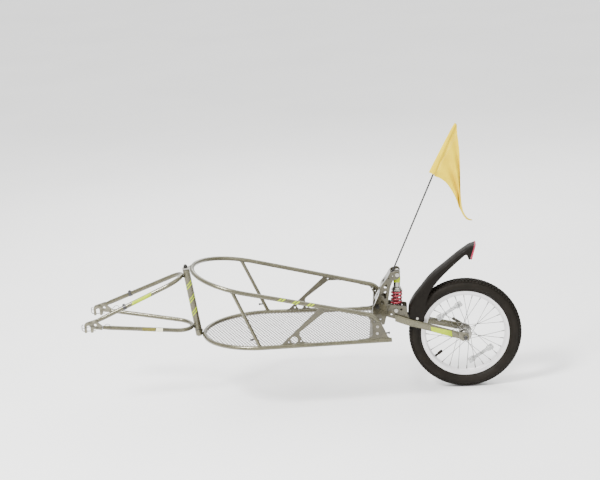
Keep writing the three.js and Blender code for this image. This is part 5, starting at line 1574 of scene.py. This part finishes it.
@dataclass
class TrailerTyre:
    """A street tyre: smooth walls with moulded lines, and rows of small tread blocks."""

    crown: float = 199.1
    waist: float = 180.0
    half: float = 26.6
    pitches: int = 100
    block_height: float = 3.7
    block_root: float = 1.2

    def crown_point(self, a: float) -> tuple[float, float]:
        """The crown's radius and half width at an angle from its middle."""
        return self.waist + (self.crown - self.waist) * cos(a), self.half * sin(a)

    def profile(self) -> list[tuple[float, float]]:
        """The carcass's outline: radius and place across."""
        side = [self.crown_point(radians(a)) for a in range(0, 91, 6)]
        lines = [(178.6, 26.9), (177.9, 27.0), (177.2, 26.6), (172, 25.0), (167.2, 21.6)]
        lines += [(166.6, 22.0), (165.8, 21.4), (162, 16.6), (159.2, 13.4), (156, 12.6)]
        lines += [(153.3, 12.5)]
        inner = [(153.3, 9.5), (160, 11), (168, 18), (180, 23), (192, 18), (196, 9), (197, 0)]
        return mirrored(side + lines + inner)

    def block(self, a: float, wide: float, long: float, turn: float) -> Piece:
        """One row's first tread block.

        Args:
            a: The angle from the crown's middle, in radians.
            wide: The block's width across the tyre.
            long: Its length round the tyre.
            turn: How far round the tyre it starts, in pitches.

        Returns:
            The block on the tyre's top.
        """
        radius, across = self.crown_point(a)
        lean = atan2((self.crown - self.waist) * sin(a), self.half * cos(a))
        deselect_all()
        bpy.ops.mesh.primitive_cube_add(size=1)
        piece = bpy.context.object
        piece.name = "tread_block"
        piece.scale = at((long, wide, self.block_height + self.block_root))
        bpy.ops.object.transform_apply(location=False, rotation=False, scale=True)
        bpy.ops.object.mode_set(mode="EDIT")
        shape = bmesh.from_edit_mesh(piece.data)
        for face in shape.faces:
            face.select_set(face.normal.z > 0.9)
        bpy.ops.mesh.bevel(offset=0.7 * MM, segments=1, affect="EDGES")
        bpy.ops.object.mode_set(mode="OBJECT")
        lift = Matrix.Translation(at((0, 0, (self.block_height - self.block_root) / 2)))
        tip = Matrix.Rotation(-lean, 4, "X")
        place = Matrix.Translation(at((0, across, radius)))
        spin = Matrix.Rotation(2 * pi * turn / self.pitches, 4, "Y")
        piece.data.transform(Matrix.Translation(WHEEL * MM) @ spin @ place @ tip @ lift)
        return piece

    def build(self) -> None:
        """Moulds the carcass, and repeats each row's block round it."""
        carcass = spun("tyre_carcass", self.profile(), WHEEL, ACROSS, 144)
        rows = [(0, 7.4, 7.2, 0.0)]
        for side in (-1, 1):
            rows.append((side * radians(21), 6.8, 7.2, 0.5))
            rows.append((side * radians(43), 8.4, 6.6, 0.0))
        blocks = [carcass]
        for row in rows:
            piece = self.block(*row)
            repeated_about(piece, self.pitches)
            blocks.append(piece)
        tyre = joined(blocks, "block_tread_tyre")
        finish_piece(tyre, "wheel", TYRE_RUBBER, ["tyre"], smooth_deg=35)


@dataclass
class WheelRim:
    """A rolled aluminium rim with its brake walls, a shallow well and an eyelet a spoke."""

    inner: float = 141.0
    flange: float = 158.5
    half: float = 15.0
    wall: float = 2.0
    well: float = 7.0
    eyelet_side: float = 2.6

    def build(self) -> None:
        """Rolls the rim and presses in the eyelets."""
        i, f, h, w = self.inner, self.flange, self.half, self.wall
        side = [
            (i, 0.0), (i, self.well - 1.2), (i + 0.5, self.well), (i + 3.3, h - 0.9), (i + 4.2, h),
            (i + 6.4, h), (i + 6.9, h - 0.35), (f - 4.4, h - 0.35), (f - 3.9, h), (f - 0.6, h),
            (f, h - 0.6), (f, h - w + 0.3), (f - 3.0, h - w), (f - 5.8, h - w),
            (i + 4, self.well - w + 1), (i + 3.6, 0.0),
        ]
        body = spun("rim_extrusion", mirrored(side), WHEEL, ACROSS, 160)
        eyelet = [(3.6, 0.35), (3.3, -0.6), (2.4, -0.75), (2.1, 0.35)]
        pieces = [body]
        for across in (-self.eyelet_side, self.eyelet_side):
            centre = WHEEL + Vector((self.inner, across, 0))
            ring = spun("eyelet", eyelet, centre, (1, 0, 0), 14)
            if across > 0:
                turn = Matrix.Rotation(2 * pi / SPOKES, 4, "Y")
                to_wheel = Matrix.Translation(WHEEL * MM)
                ring.data.transform(to_wheel @ turn @ to_wheel.inverted())
            repeated_about(ring, SPOKES // 2)
            pieces.append(ring)
        rim = joined(pieces, "wheel_rim")
        finish_piece(rim, "wheel", RIM_ALLOY, ["rim"], smooth_deg=35)


@dataclass
class LacedHub:
    """The hub's turned shell and its crossed spokes with their nipples."""

    crossings: int = 4
    flange: float = 23.0
    flange_half: float = 28.5
    head_gap: float = 2.6
    web_inset: float = 1.7
    bend: float = 4.6
    drift: tuple[float, float] = (3.8, 1.3)

    def shell(self) -> None:
        """Turns the hub's shell."""
        side = [
            (10.4, 0.0), (10.8, 8.0), (12.6, 21.0), (13.4, 25.0), (22.4, 25.1), (23.0, 25.7),
            (23.0, 27.9), (22.4, 28.5), (14.2, 28.9), (13.0, 30.2), (12.4, 36.2), (11.6, 37.0),
            (6.6, 37.0), (6.6, 0.0),
        ]
        hub = spun("hub_shell", mirrored(side), WHEEL, ACROSS, 64)
        finish_piece(hub, "wheel", SATIN_ALLOY, ["hub_and_spokes"], smooth_deg=35)

    def spoke(self, k: int) -> Piece:
        """One spoke with its bent head and its nipple.

        Args:
            k: Which of the four kinds it is: left or right, outside or inside its flange.

        Returns:
            The spoke.
        """
        side = -1 if k % 2 == 0 else 1
        way, drift = (1, self.drift[0]) if k % 4 < 2 else (-1, self.drift[1])
        spacing = 2 * pi / SPOKES
        a = spacing * k
        b = a + way * spacing * self.crossings
        hole = self.flange - self.head_gap
        across = self.flange_half - self.web_inset + way * self.head_gap
        start = Vector((hole * cos(b), side * across, -hole * sin(b)))
        end = Vector((SPOKE_SEAT * cos(a), side * drift, -SPOKE_SEAT * sin(a)))
        through = start - Vector((0, side * way * self.bend, 0))
        near = start.lerp(end, 0.03)
        line = [WHEEL + p for p in (through, start, near, end)]
        wire = swept_tube("spoke", line, 1.0, 10)
        button = [(0, -0.9), (1.7, -0.4), (1.7, 0.5), (0, 0.6)]
        head = spun("head", button, line[0], (0, side, 0), 12)
        nipple = [(0, -12), (1.3, -11.8), (1.7, -11.2), (1.7, -2.2), (2.2, -1.4)]
        nipple += [(2.2, 0.6), (0, 0.9)]
        cap = spun("nipple", nipple, line[3], end - start, 12)
        return joined([wire, head, cap], "spoke")

    def build(self) -> None:
        """Turns the shell and laces all the spokes."""
        self.shell()
        for k in range(4):
            piece = self.spoke(k)
            repeated_about(piece, SPOKES // 4)
            piece.name = f"spokes_{k + 1}"
            finish_piece(piece, "wheel", SPOKE_STEEL, smooth_deg=40)


@dataclass
class WheelFittings:
    """The valve with its cap, and the clear reflectors clipped on the spokes."""

    valve_angle: float = radians(218)
    reflector_angle: float = radians(122.5)
    reflector_radius: float = 99.0

    def valve(self) -> None:
        """Turns the valve's stem and its knurled cap."""
        out = Vector((cos(self.valve_angle), 0, sin(self.valve_angle)))
        foot = WHEEL + out * SPOKE_SEAT
        stem = [(0, 0), (4.6, 0), (4.6, -3.2), (3.8, -5.0), (3.6, -14.0), (0, -14.0)]
        cap = [(0, -12.4), (4.8, -12.4), (5.5, -13.6), (5.5, -29.0), (4.3, -31.4), (0, -31.8)]
        body = spun("valve_stem", stem, foot, out, 20)
        top = spun("valve_cap", cap, foot, out, 12)
        valve = joined([body, top], "tyre_valve")
        finish_piece(valve, "wheel", TYRE_RUBBER, ["valve"], smooth_deg=25)

    def reflector_outline(self) -> list[tuple[float, float]]:
        """A bar with a broad block at each end, along and out."""
        quarter = [(0, 5.6), (20, 5.8), (26, 6.6), (29, 8.9), (31.5, 10.6), (48, 10.4), (51, 9.4)]
        quarter += [(52.4, 7.6), (52.6, 0)]
        low = [(x, -y) for x, y in reversed(quarter[:-1])]
        right = quarter + low
        return right[:-1] + [(-x, y) for x, y in reversed(right[1:])]

    def build(self) -> None:
        """Clips the two reflectors on, and fits the valve."""
        self.valve()
        for name, turn in (("front", 0.0), ("rear", pi)):
            node = f"spoke_reflector_{name}"
            low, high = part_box(node)
            a = self.reflector_angle + turn
            out = Vector((cos(a), 0, sin(a)))
            side = Vector((-out.z, 0, out.x))
            centre = WHEEL + out * self.reflector_radius
            front = low[1] / MM
            outline = [centre + side * u + out * v for u, v in self.reflector_outline()]
            outline = [Vector((p.x, front, p.z)) for p in outline]
            depth = Vector((0, (high[1] - low[1]) / MM, 0))
            bar = plate_piece(f"{node}_lens", outline, depth)
            soften_edges(bar, 0.9)
            finish_piece(bar, "wheel", CLEAR_PRISM, [node], smooth_deg=35)


# Fender


@dataclass
class FenderShell:
    """The moulded mudguard: a crowned channel that narrows and ends in the lens's frame."""

    box: tuple[float, float, float, float] = (1143, -54, 203 * 1.2315, 203 * 1.33)
    wall: float = 2.5
    base_half: float = 36.0
    tip_half: float = 28.0
    spine: tuple[tuple[float, float], ...] = (
        (0, 0.04), (0.016, 0.178), (0.084, 0.298), (0.192, 0.422), (0.352, 0.592), (0.588, 0.766),
        (0.736, 0.874), (0.836, 0.937), (0.916, 0.981), (0.988, 1),
    )
    edge: tuple[tuple[float, float], ...] = (
        (0.228, -0.024), (0.248, 0.152), (0.272, 0.244), (0.324, 0.37), (0.46, 0.534),
        (0.664, 0.714), (0.796, 0.815), (0.868, 0.86), (0.9, 0.8), (0.92, 0.792),
    )
    rings: int = 72
    narrowing: tuple[float, float] = (0.14, 0.7)
    crown_steps: int = 16

    def ring(self, spine: Vector, edge: Vector, half: float, inset: float) -> list[Vector]:
        """The channel's outline from one edge over the crown to the other.

        Args:
            spine: The crown's middle.
            edge: The lower edge's place.
            half: The half width.
            inset: How far inside the outer face it lies.

        Returns:
            Its points in millimetres.
        """
        depth = edge - spine
        reach = depth.length
        down = depth.normalized()
        drop = min(9.0, reach * 0.42)
        flank = [
            (half - inset - 0.35 + 0.4 * sin(pi * share), share * reach)
            for share in (1.0, 0.985, 0.8, 0.6, 0.42)
        ]
        points = [(-width, along) for width, along in flank]
        for k in range(self.crown_steps + 1):
            a = pi * (1 - k / self.crown_steps)
            across = cos(a)
            width = (half - inset) * (abs(across) ** 0.72) * (1 if across > 0 else -1)
            points.append((width, inset + drop * (1 - sin(a) ** 1.15)))
        points += reversed(flank)
        return [spine + down * along + Vector((0, across, 0)) for across, along in points]

    def build(self) -> None:
        """Moulds the shell with its wall."""
        spine, edge = boxed_line(self.box, self.spine), boxed_line(self.box, self.edge)
        start, stop = self.narrowing
        rows = []
        for i in range(self.rings + 1):
            t = i / self.rings
            share = min(max((t - start) / (stop - start), 0.0), 1.0)
            half = self.base_half + (self.tip_half - self.base_half) * share
            outer = self.ring(spine.point(t), edge.point(t), half, 0.0)
            inner = self.ring(spine.point(t), edge.point(t), half, self.wall)
            row = outer + inner[::-1]
            rows.append([*row, row[0]])
        shell = skinned("fender_shell", rows, capped=True)
        soften_edges(shell, 0.5)
        finish_piece(shell, "swingarm", POLYPROPYLENE, ["fender"], smooth_deg=40)


# Welds, fasteners and bands


@dataclass
class WeldBeads:
    """Beads of overlapped drops along the frame's joints."""

    radius: float = 1.7
    drop: float = 2.4
    face_gap: float = 2.4
    steps: int = 12
    round_steps: int = 36
    halvings: int = 14
    search: float = 30.0
    loop_steps: int = 16
    loop_turn: float = radians(78)
    tip_turn: float = radians(55)
    tip_across: float = 13.0
    tip_bow: float = 1.5
    tip_lift: float = 5.2
    tube_edge: float = 13.5

    def bead(self, name: str, body: str, line: Sequence[Vector], radius: float = 0.0) -> None:
        """Lays one bead.

        Args:
            name: The bead's name.
            body: The body that it rides on.
            line: Where it runs, in millimetres.
            radius: Its radius, or 0 for the usual one.
        """
        fine = fine_line(line, self.drop / 4)
        shares = [1 + 0.16 * sin(2 * pi * k / 4) for k in range(len(fine))]
        shares[0] = shares[-1] = 0.6
        bead = swept_tube(name, fine, radius or self.radius, 8, radii=shares)
        finish_piece(bead, body, WELD_PAINT, smooth_deg=60)

    def round_joint(self, foot: Vector, towards: Vector, rail: Sequence[Vector]) -> list[Vector]:
        """Where a front strut meets a bent rail.

        Args:
            foot: A point of the tube's axis near the rail's middle.
            towards: A point further up the tube.
            rail: The rail's middle line.

        Returns:
            The closed line of the joint.
        """
        along = (towards - foot).normalized()
        near = [p for p in rail if (p - foot).length < 60]
        side = along.orthogonal().normalized()
        other = along.cross(side)
        line = []
        for k in range(self.round_steps + 1):
            a = 2 * pi * k / self.round_steps
            edge = foot + (side * cos(a) + other * sin(a)) * LAYOUT.strut_radius
            low, high = 0.0, self.search
            for _ in range(self.halvings):
                middle = (low + high) / 2
                inside = distance_to_line(edge + along * middle, near) < LAYOUT.rail_radius
                low, high = (middle, high) if inside else (low, middle)
            line.append(edge + along * high)
        return line

    def struts(self) -> None:
        """Welds the front struts to both rails."""
        top, bottom = fine_line(LAYOUT.top_rail(), 8), fine_line(LAYOUT.bottom_rail(), 8)
        for side, label in SIDES:
            head, foot = LAYOUT.strut(side)
            upper, lower = self.round_joint(head, foot, top), self.round_joint(foot, head, bottom)
            self.bead(f"weld_strut_top_{label}", "cargo_frame", upper)
            self.bead(f"weld_strut_foot_{label}", "cargo_frame", lower)

    def plate_edges(self) -> None:
        """Welds the side braces and rear panels along both faces."""
        top, bottom = LAYOUT.top_rail(), LAYOUT.bottom_rail()
        runs = [
            ("brace_foot", bottom, 692, 800, 1),
            ("brace_head", top, 846, 900, -1),
            ("panel_foot", bottom, 966, 1078, 1),
            ("panel_head", top, 968, 1004, -1),
        ]
        for name, rail, start, stop, up in runs:
            for side, label in SIDES:
                for face, where in ((-1, "in"), (1, "out")):
                    line = []
                    for k in range(self.steps + 1):
                        x = start + (stop - start) * k / self.steps
                        y = LAYOUT.side_y(x) + face * self.face_gap
                        off = y - LAYOUT.half_width(rail, x)
                        rise = sqrt(max(LAYOUT.rail_radius**2 - off**2, 4.0))
                        height = -LAYOUT.floor_drop if rail is bottom else LAYOUT.top_height(x)
                        line.append(Vector((x, side * y, height + up * rise)))
                    self.bead(f"weld_{name}_{label}_{where}", "cargo_frame", line)

    def yoke(self) -> None:
        """Welds the two loops to the steering tube, where their bends touch it."""
        for name, height in (("upper", LAYOUT.upper_stay_tip), ("lower", LAYOUT.lower_stay_tip)):
            for side, label in ((-1, "below"), (1, "above")):
                line = []
                for k in range(self.loop_steps + 1):
                    a = self.loop_turn * (2 * k / self.loop_steps - 1)
                    lift = side * (4.6 + 2.2 * abs(sin(a)))
                    spot = LAYOUT.on_steer(-self.tube_edge * cos(a), height + lift)
                    line.append(spot + Vector((0, self.tube_edge * sin(a), 0)))
                self.bead(f"weld_{name}_loop_{label}", "yoke", line, 2.0)

    def steering(self) -> None:
        """Welds the lug and the collar to the rails' tips."""
        for name, height, tip in (("lug", LAYOUT.top_tip_height, 20.5), ("collar", 2.5, 15.5)):
            line = []
            for k in range(self.steps + 1):
                a = self.tip_turn * (2 * k / self.steps - 1)
                spot = LAYOUT.on_steer(tip - self.tip_bow * cos(a), height + self.tip_lift)
                line.append(spot + Vector((0, self.tip_across * sin(a), 0)))
            self.bead(f"weld_{name}", "cargo_frame", line, 1.9)

    def build(self) -> None:
        """Lays all the beads."""
        self.struts()
        self.plate_edges()
        self.yoke()
        self.steering()


@dataclass
class Fasteners:
    """Screws on washers, stay clips, hook sleeves and the skewer's end cap."""

    hook_height: float = 32.0
    hook_stand: float = 3.2
    screw_radius: float = 3.4
    screw_stand: float = 2.2

    def screw(self, name: str, body: str, place: Point, axis: Point, radius: float) -> None:
        """One button head with its hexagon recess, on a washer.

        Args:
            name: The piece's name.
            body: The body that it rides on.
            place: Where the washer lies.
            axis: The way the head points.
            radius: The head's radius.
        """
        r = radius
        head = [(0, 0.6 * r), (0.42 * r, 0.6 * r), (0.46 * r, 0.78 * r), (0.72 * r, 0.7 * r)]
        head += [(0.93 * r, 0.45 * r), (r, 0.16 * r), (r, 0.1 * r), (0, 0.1 * r)]
        washer = [(0.3 * r, 0), (1.38 * r, 0), (1.38 * r, 0.12 * r), (0.3 * r, 0.12 * r)]
        top = spun(name, head, place, axis, 24)
        ring = spun("washer", washer, place, axis, 28)
        whole = joined([top, ring], name)
        finish_piece(whole, body, ZINC_STEEL, smooth_deg=30)

    def build(self) -> None:
        """Fits every small fastener."""
        for side, label in SIDES:
            for k, (x, z) in enumerate(((1036, -22), (1034, -46))):
                y = side * (LAYOUT.side_y(x) + self.screw_stand)
                name = f"panel_screw_{label}_{k}"
                self.screw(name, "cargo_frame", (x, y, z), (0, side, 0), self.screw_radius)
        self.stay_clips()
        self.axle_end()
        self.hook_sleeves()

    def hook_sleeves(self) -> None:
        """Pushes a dark sleeve with a rounded head over each of the four hooks."""
        shape = [(0, 6), (2.8, 6), (3.0, 6.4), (3.0, 13.2), (4.2, 14), (4.6, 15.4), (4.3, 17.4)]
        shape += [(2.6, 18.4), (0, 18.6)]
        for side, label in SIDES:
            top, foot = LAYOUT.strut(side)
            share = self.hook_height / (top.z - foot.z)
            front = foot.lerp(top, share) - Vector((self.hook_stand, 0, 0))
            rear = (1060, side * LAYOUT.side_y(1067), -47)
            for place, way, spot in (("front", -1, front), ("rear", 1, rear)):
                sleeve = spun(f"hook_sleeve_{place}_{label}", shape, spot, (way, 0, 0), 20)
                finish_piece(sleeve, "cargo_frame", ACETAL, smooth_deg=40)

    def stay_clips(self) -> None:
        """Clamps a small band with an ear round each upper stay."""
        stay = LAYOUT.upper_stay()
        right, left = (stay[0], stay[1], 0.385), (stay[-1], stay[-2], 0.4)
        for label, (a, b, share) in (("right", right), ("left", left)):
            centre, along = a.lerp(b, share), (b - a).normalized()
            ring = [(7.7, -6), (8.9, -6), (9.4, -5.4), (9.4, 5.4), (8.9, 6), (7.7, 6)]
            band = spun("clip_band", ring, centre, along, 32)
            up = (Vector((0, 0, 1)) - along * along.z).normalized()
            side = up.cross(along)
            spots = [(-5.2, 8.6), (5.2, 8.6), (4.6, 12.2), (3.4, 13.2), (-3.4, 13.2), (-4.6, 12.2)]
            outline = [centre + along * u + up * v - side * 1.6 for u, v in spots]
            ear = plate_piece("clip_ear", outline, side * 3.2)
            clip = joined([band, ear], f"stay_clip_{label}")
            finish_piece(clip, "yoke", GLASS_FIBRE, smooth_deg=30)

    def axle_end(self) -> None:
        """Fits the skewer nut's black end cap."""
        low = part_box("skewer")[0][1] / MM
        dome = [(0, 1.5), (6.4, 1.5), (7.2, 0.8), (7.2, -1.2), (5.8, -2.6), (2.6, -3.2), (0, -3.3)]
        cap = spun("skewer_end_cap", dome, (WHEEL.x, low, WHEEL.z), ACROSS, 24)
        finish_piece(cap, body_of("skewer"), ACETAL, smooth_deg=40)


@dataclass
class LimeBands:
    """Plain lime bands and slanted stripes that wrap round the tubes.

    The arc starts and ends at arc_deg: 0 is the tube's top, -90 the side the camera sees.
    """

    lift: float = 0.12
    stripe_rise: float = 5.0
    stripe_run: float = 6.0
    vinyl: float = 0.18
    arc_steps: int = 12
    run_steps: int = 6
    arc_deg: tuple[float, float] = (-150, -30)
    rail_stripes: tuple[float, ...] = (697, 747, 797)
    steering_stripes: tuple[float, ...] = (179, 126.5, 77)
    arm_middle: Point = (1260, 0, -95.5)
    arm_fall: float = 0.235
    arm_half: tuple[float, float] = (38, 10)
    arm_slant: float = 0.3

    def patch(
        self,
        name: str,
        body: str,
        line: tuple[Vector, Vector],
        radius: float,
        slant: float,
        finish: Finish = LIME_VINYL,
    ) -> None:
        """One patch of vinyl on a straight tube.

        Args:
            name: The patch's name.
            body: The body that it rides on.
            line: Where it starts and ends along the tube.
            radius: The tube's radius.
            slant: How far the patch slides along the tube for each radian round it.
            finish: Its finish.
        """
        start, stop = line
        along = (stop - start).normalized()
        out = Vector((0, 1, 0))
        out = (out - along * out.dot(along)).normalized()
        up = out.cross(along)
        if up.z < 0 or (abs(up.z) < 0.3 and up.x < 0):
            up = -up
        low, high = self.arc_deg
        rows = []
        for i in range(self.arc_steps + 1):
            a = radians(low + (high - low) * i / self.arc_steps)
            shift = along * slant * (a - radians((low + high) / 2))
            spoke = (out * sin(a) + up * cos(a)) * (radius + self.lift)
            shares = (k / self.run_steps for k in range(self.run_steps + 1))
            rows.append([start.lerp(stop, share) + shift + spoke for share in shares])
        piece = skinned(name, rows)
        thickened(piece, self.vinyl)
        finish_piece(piece, body, finish, smooth_deg=60)

    def build(self) -> None:
        """Sticks all the bands on."""
        for k, x in enumerate(self.rail_stripes):
            for j, shift in enumerate((0, 11)):
                start = LAYOUT.top_point(x + shift, -1)
                line = (start, LAYOUT.top_point(x + shift + self.stripe_run, -1))
                self.patch(f"rail_stripe_{k}_{j}", "cargo_frame", line, LAYOUT.rail_radius, 7.0)
        for k, height in enumerate(self.steering_stripes):
            for j, shift in enumerate((-2, 9)):
                low = height + shift
                line = (LAYOUT.on_steer(0, low), LAYOUT.on_steer(0, low + self.stripe_rise))
                self.patch(f"steering_stripe_{k}_{j}", "yoke", line, LAYOUT.yoke_radius, 11.0)
        upper, lower = LAYOUT.upper_stay(), LAYOUT.lower_stay()
        for name, stay, start, stop, slant, finish in (
            ("upper_stay_band", upper, 0.506, 0.785, 5.0, LIME_VINYL),
            ("lower_stay_band_dark", lower, 0.54, 0.72, 0.0, OCHRE_VINYL),
            ("lower_stay_band_pale", lower, 0.73, 0.82, 0.0, PALE_VINYL),
        ):
            line = (stay[-1].lerp(stay[-2], start), stay[-1].lerp(stay[-2], stop))
            self.patch(name, "yoke", line, LAYOUT.stay_radius, slant, finish)
        self.arm_band()

    def arm_band(self) -> None:
        """The plain rectangle on the left arm: the arm's own side, cut out and lifted."""
        slope = Vector((1, 0, -self.arm_fall)).normalized()
        up = Vector((-slope.z, 0, slope.x))
        middle = Vector(self.arm_middle)
        length, height = slope * self.arm_half[0], up * self.arm_half[1]
        end = slope + up * self.arm_slant
        cuts = [
            (middle - length, -end), (middle + length, end), (middle - height, -up),
            (middle + height, up),
        ]
        piece = merged_copy("arm_left", "arm_band")
        with editing(piece):
            for face in bmesh.from_edit_mesh(piece.data).faces:
                face.select_set(face.normal.y > -0.7)
            bpy.ops.mesh.delete(type="FACE")
            for place, out in cuts:
                bpy.ops.mesh.select_all(action="SELECT")
                bpy.ops.mesh.bisect(plane_co=at(place), plane_no=out.normalized(), clear_outer=True)
            bpy.ops.mesh.select_all(action="SELECT")
            bpy.ops.transform.translate(value=(0, -self.lift * 1.5 * MM, 0))
        thickened(piece, 0.16)
        finish_piece(piece, body_of("arm_left"), LIME_VINYL, smooth_deg=60)


# Cut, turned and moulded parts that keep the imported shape


def both_sides(*stems: str) -> tuple[str, ...]:
    """The names of the left and right node of each pair."""
    return tuple(f"{stem}_{side}" for stem in stems for _, side in SIDES)


@dataclass
class CutAndTurned:
    """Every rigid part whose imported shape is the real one."""

    def dress(self, node: str, finish: Finish, edge_mm: float) -> None:
        """Copies a node, rounds its edges and dresses it.

        Args:
            node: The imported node.
            finish: What it is made of.
            edge_mm: How far its edges are rounded, or 0 for not at all.
        """
        piece = merged_copy(node, f"{node}_dressed")
        if edge_mm:
            soften_edges(piece, edge_mm)
        finish_piece(piece, body_of(node), finish, [node])
        flatten_shading(piece)

    def build(self) -> None:
        """Dresses the parts one after the other."""
        plates = both_sides("side_brace", "rear_panel", "tower_plate", "swing_plate")
        webs = ("bulkhead", "tower_web", "swing_bridge", "flag_socket")
        turned = ("shock_top_bolt", "shock_lower_bolt", "pivot_sleeve")
        bushings = ("steering_bushing_lower", "steering_bushing_upper")
        for finish, slot, edge_mm, nodes in (
            (FRAME_PAINT, Slot.FRAME, 0.5, both_sides("front_strut", "arm")),
            # the plates and webs take the enamel's darker copy, whose colour holds painted shade
            (SHADED_PLATE_PAINT, Slot.FRAME, 0.5, plates),
            (SHADED_PLATE_PAINT, Slot.FRAME, 0.3, webs),
            (FRAME_PAINT, Slot.FRAME, 0.3, ("lower_pivot_collar", "yoke_tube")),
            (SATIN_ALLOY, Slot.ALLOY, 0.5, ("upper_pivot_lug",)),
            (BLASTED_ALLOY, Slot.ALLOY, 0.5, both_sides("hitch_dropout", "axle_dropout")),
            (SPOKE_STEEL, Slot.STEEL, 0.0, both_sides("retaining_pin")),
            (ZINC_STEEL, Slot.STEEL, 0.3, (*both_sides("fender_bolt"), *turned)),
            (BLACK_METAL, Slot.BLACK, 0.3, ("swing_pivot_bolt",)),
            (ZINC_STEEL, Slot.STEEL, 0.3, ("hub_axle", "skewer", "pivot_nut")),
            (ACETAL, Slot.BUSHING, 0.3, bushings),
            (SATIN_ALLOY, Slot.ALLOY, 0.3, ("shock_body",)),
            (SATIN_ALLOY, Slot.ALLOY, 0.4, ("preload_collar",)),
            (ZINC_STEEL, Slot.STEEL, 0.3, ("shock_shaft",)),
            (BLACK_METAL, Slot.BLACK, 0.3, ("pivot_pin",)),
            (ZINC_STEEL, Slot.STEEL, 0.5, ("quick_release_lever",)),
            (RED_PRISM, Slot.RED_LENS, 0.5, ("rear_reflector",)),
        ):
            for node in nodes:
                self.dress(node, finish, edge_mm)


def main() -> None:
    """Builds the studio and the trailer, piece by piece."""
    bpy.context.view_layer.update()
    PhotoCamera().build()
    PinTethers().build()
    Studio().build()
    frame_parts = (BentTubes, FloorNet, ShockSpring, ShockTrim, FlagMast, SafetyFlag)
    wheel_parts = (TrailerTyre, WheelRim, LacedHub, WheelFittings, FenderShell)
    for group in (*frame_parts, *wheel_parts, CutAndTurned, WeldBeads, Fasteners, LimeBands):
        group().build()


if __name__ == "__main__":
    main()
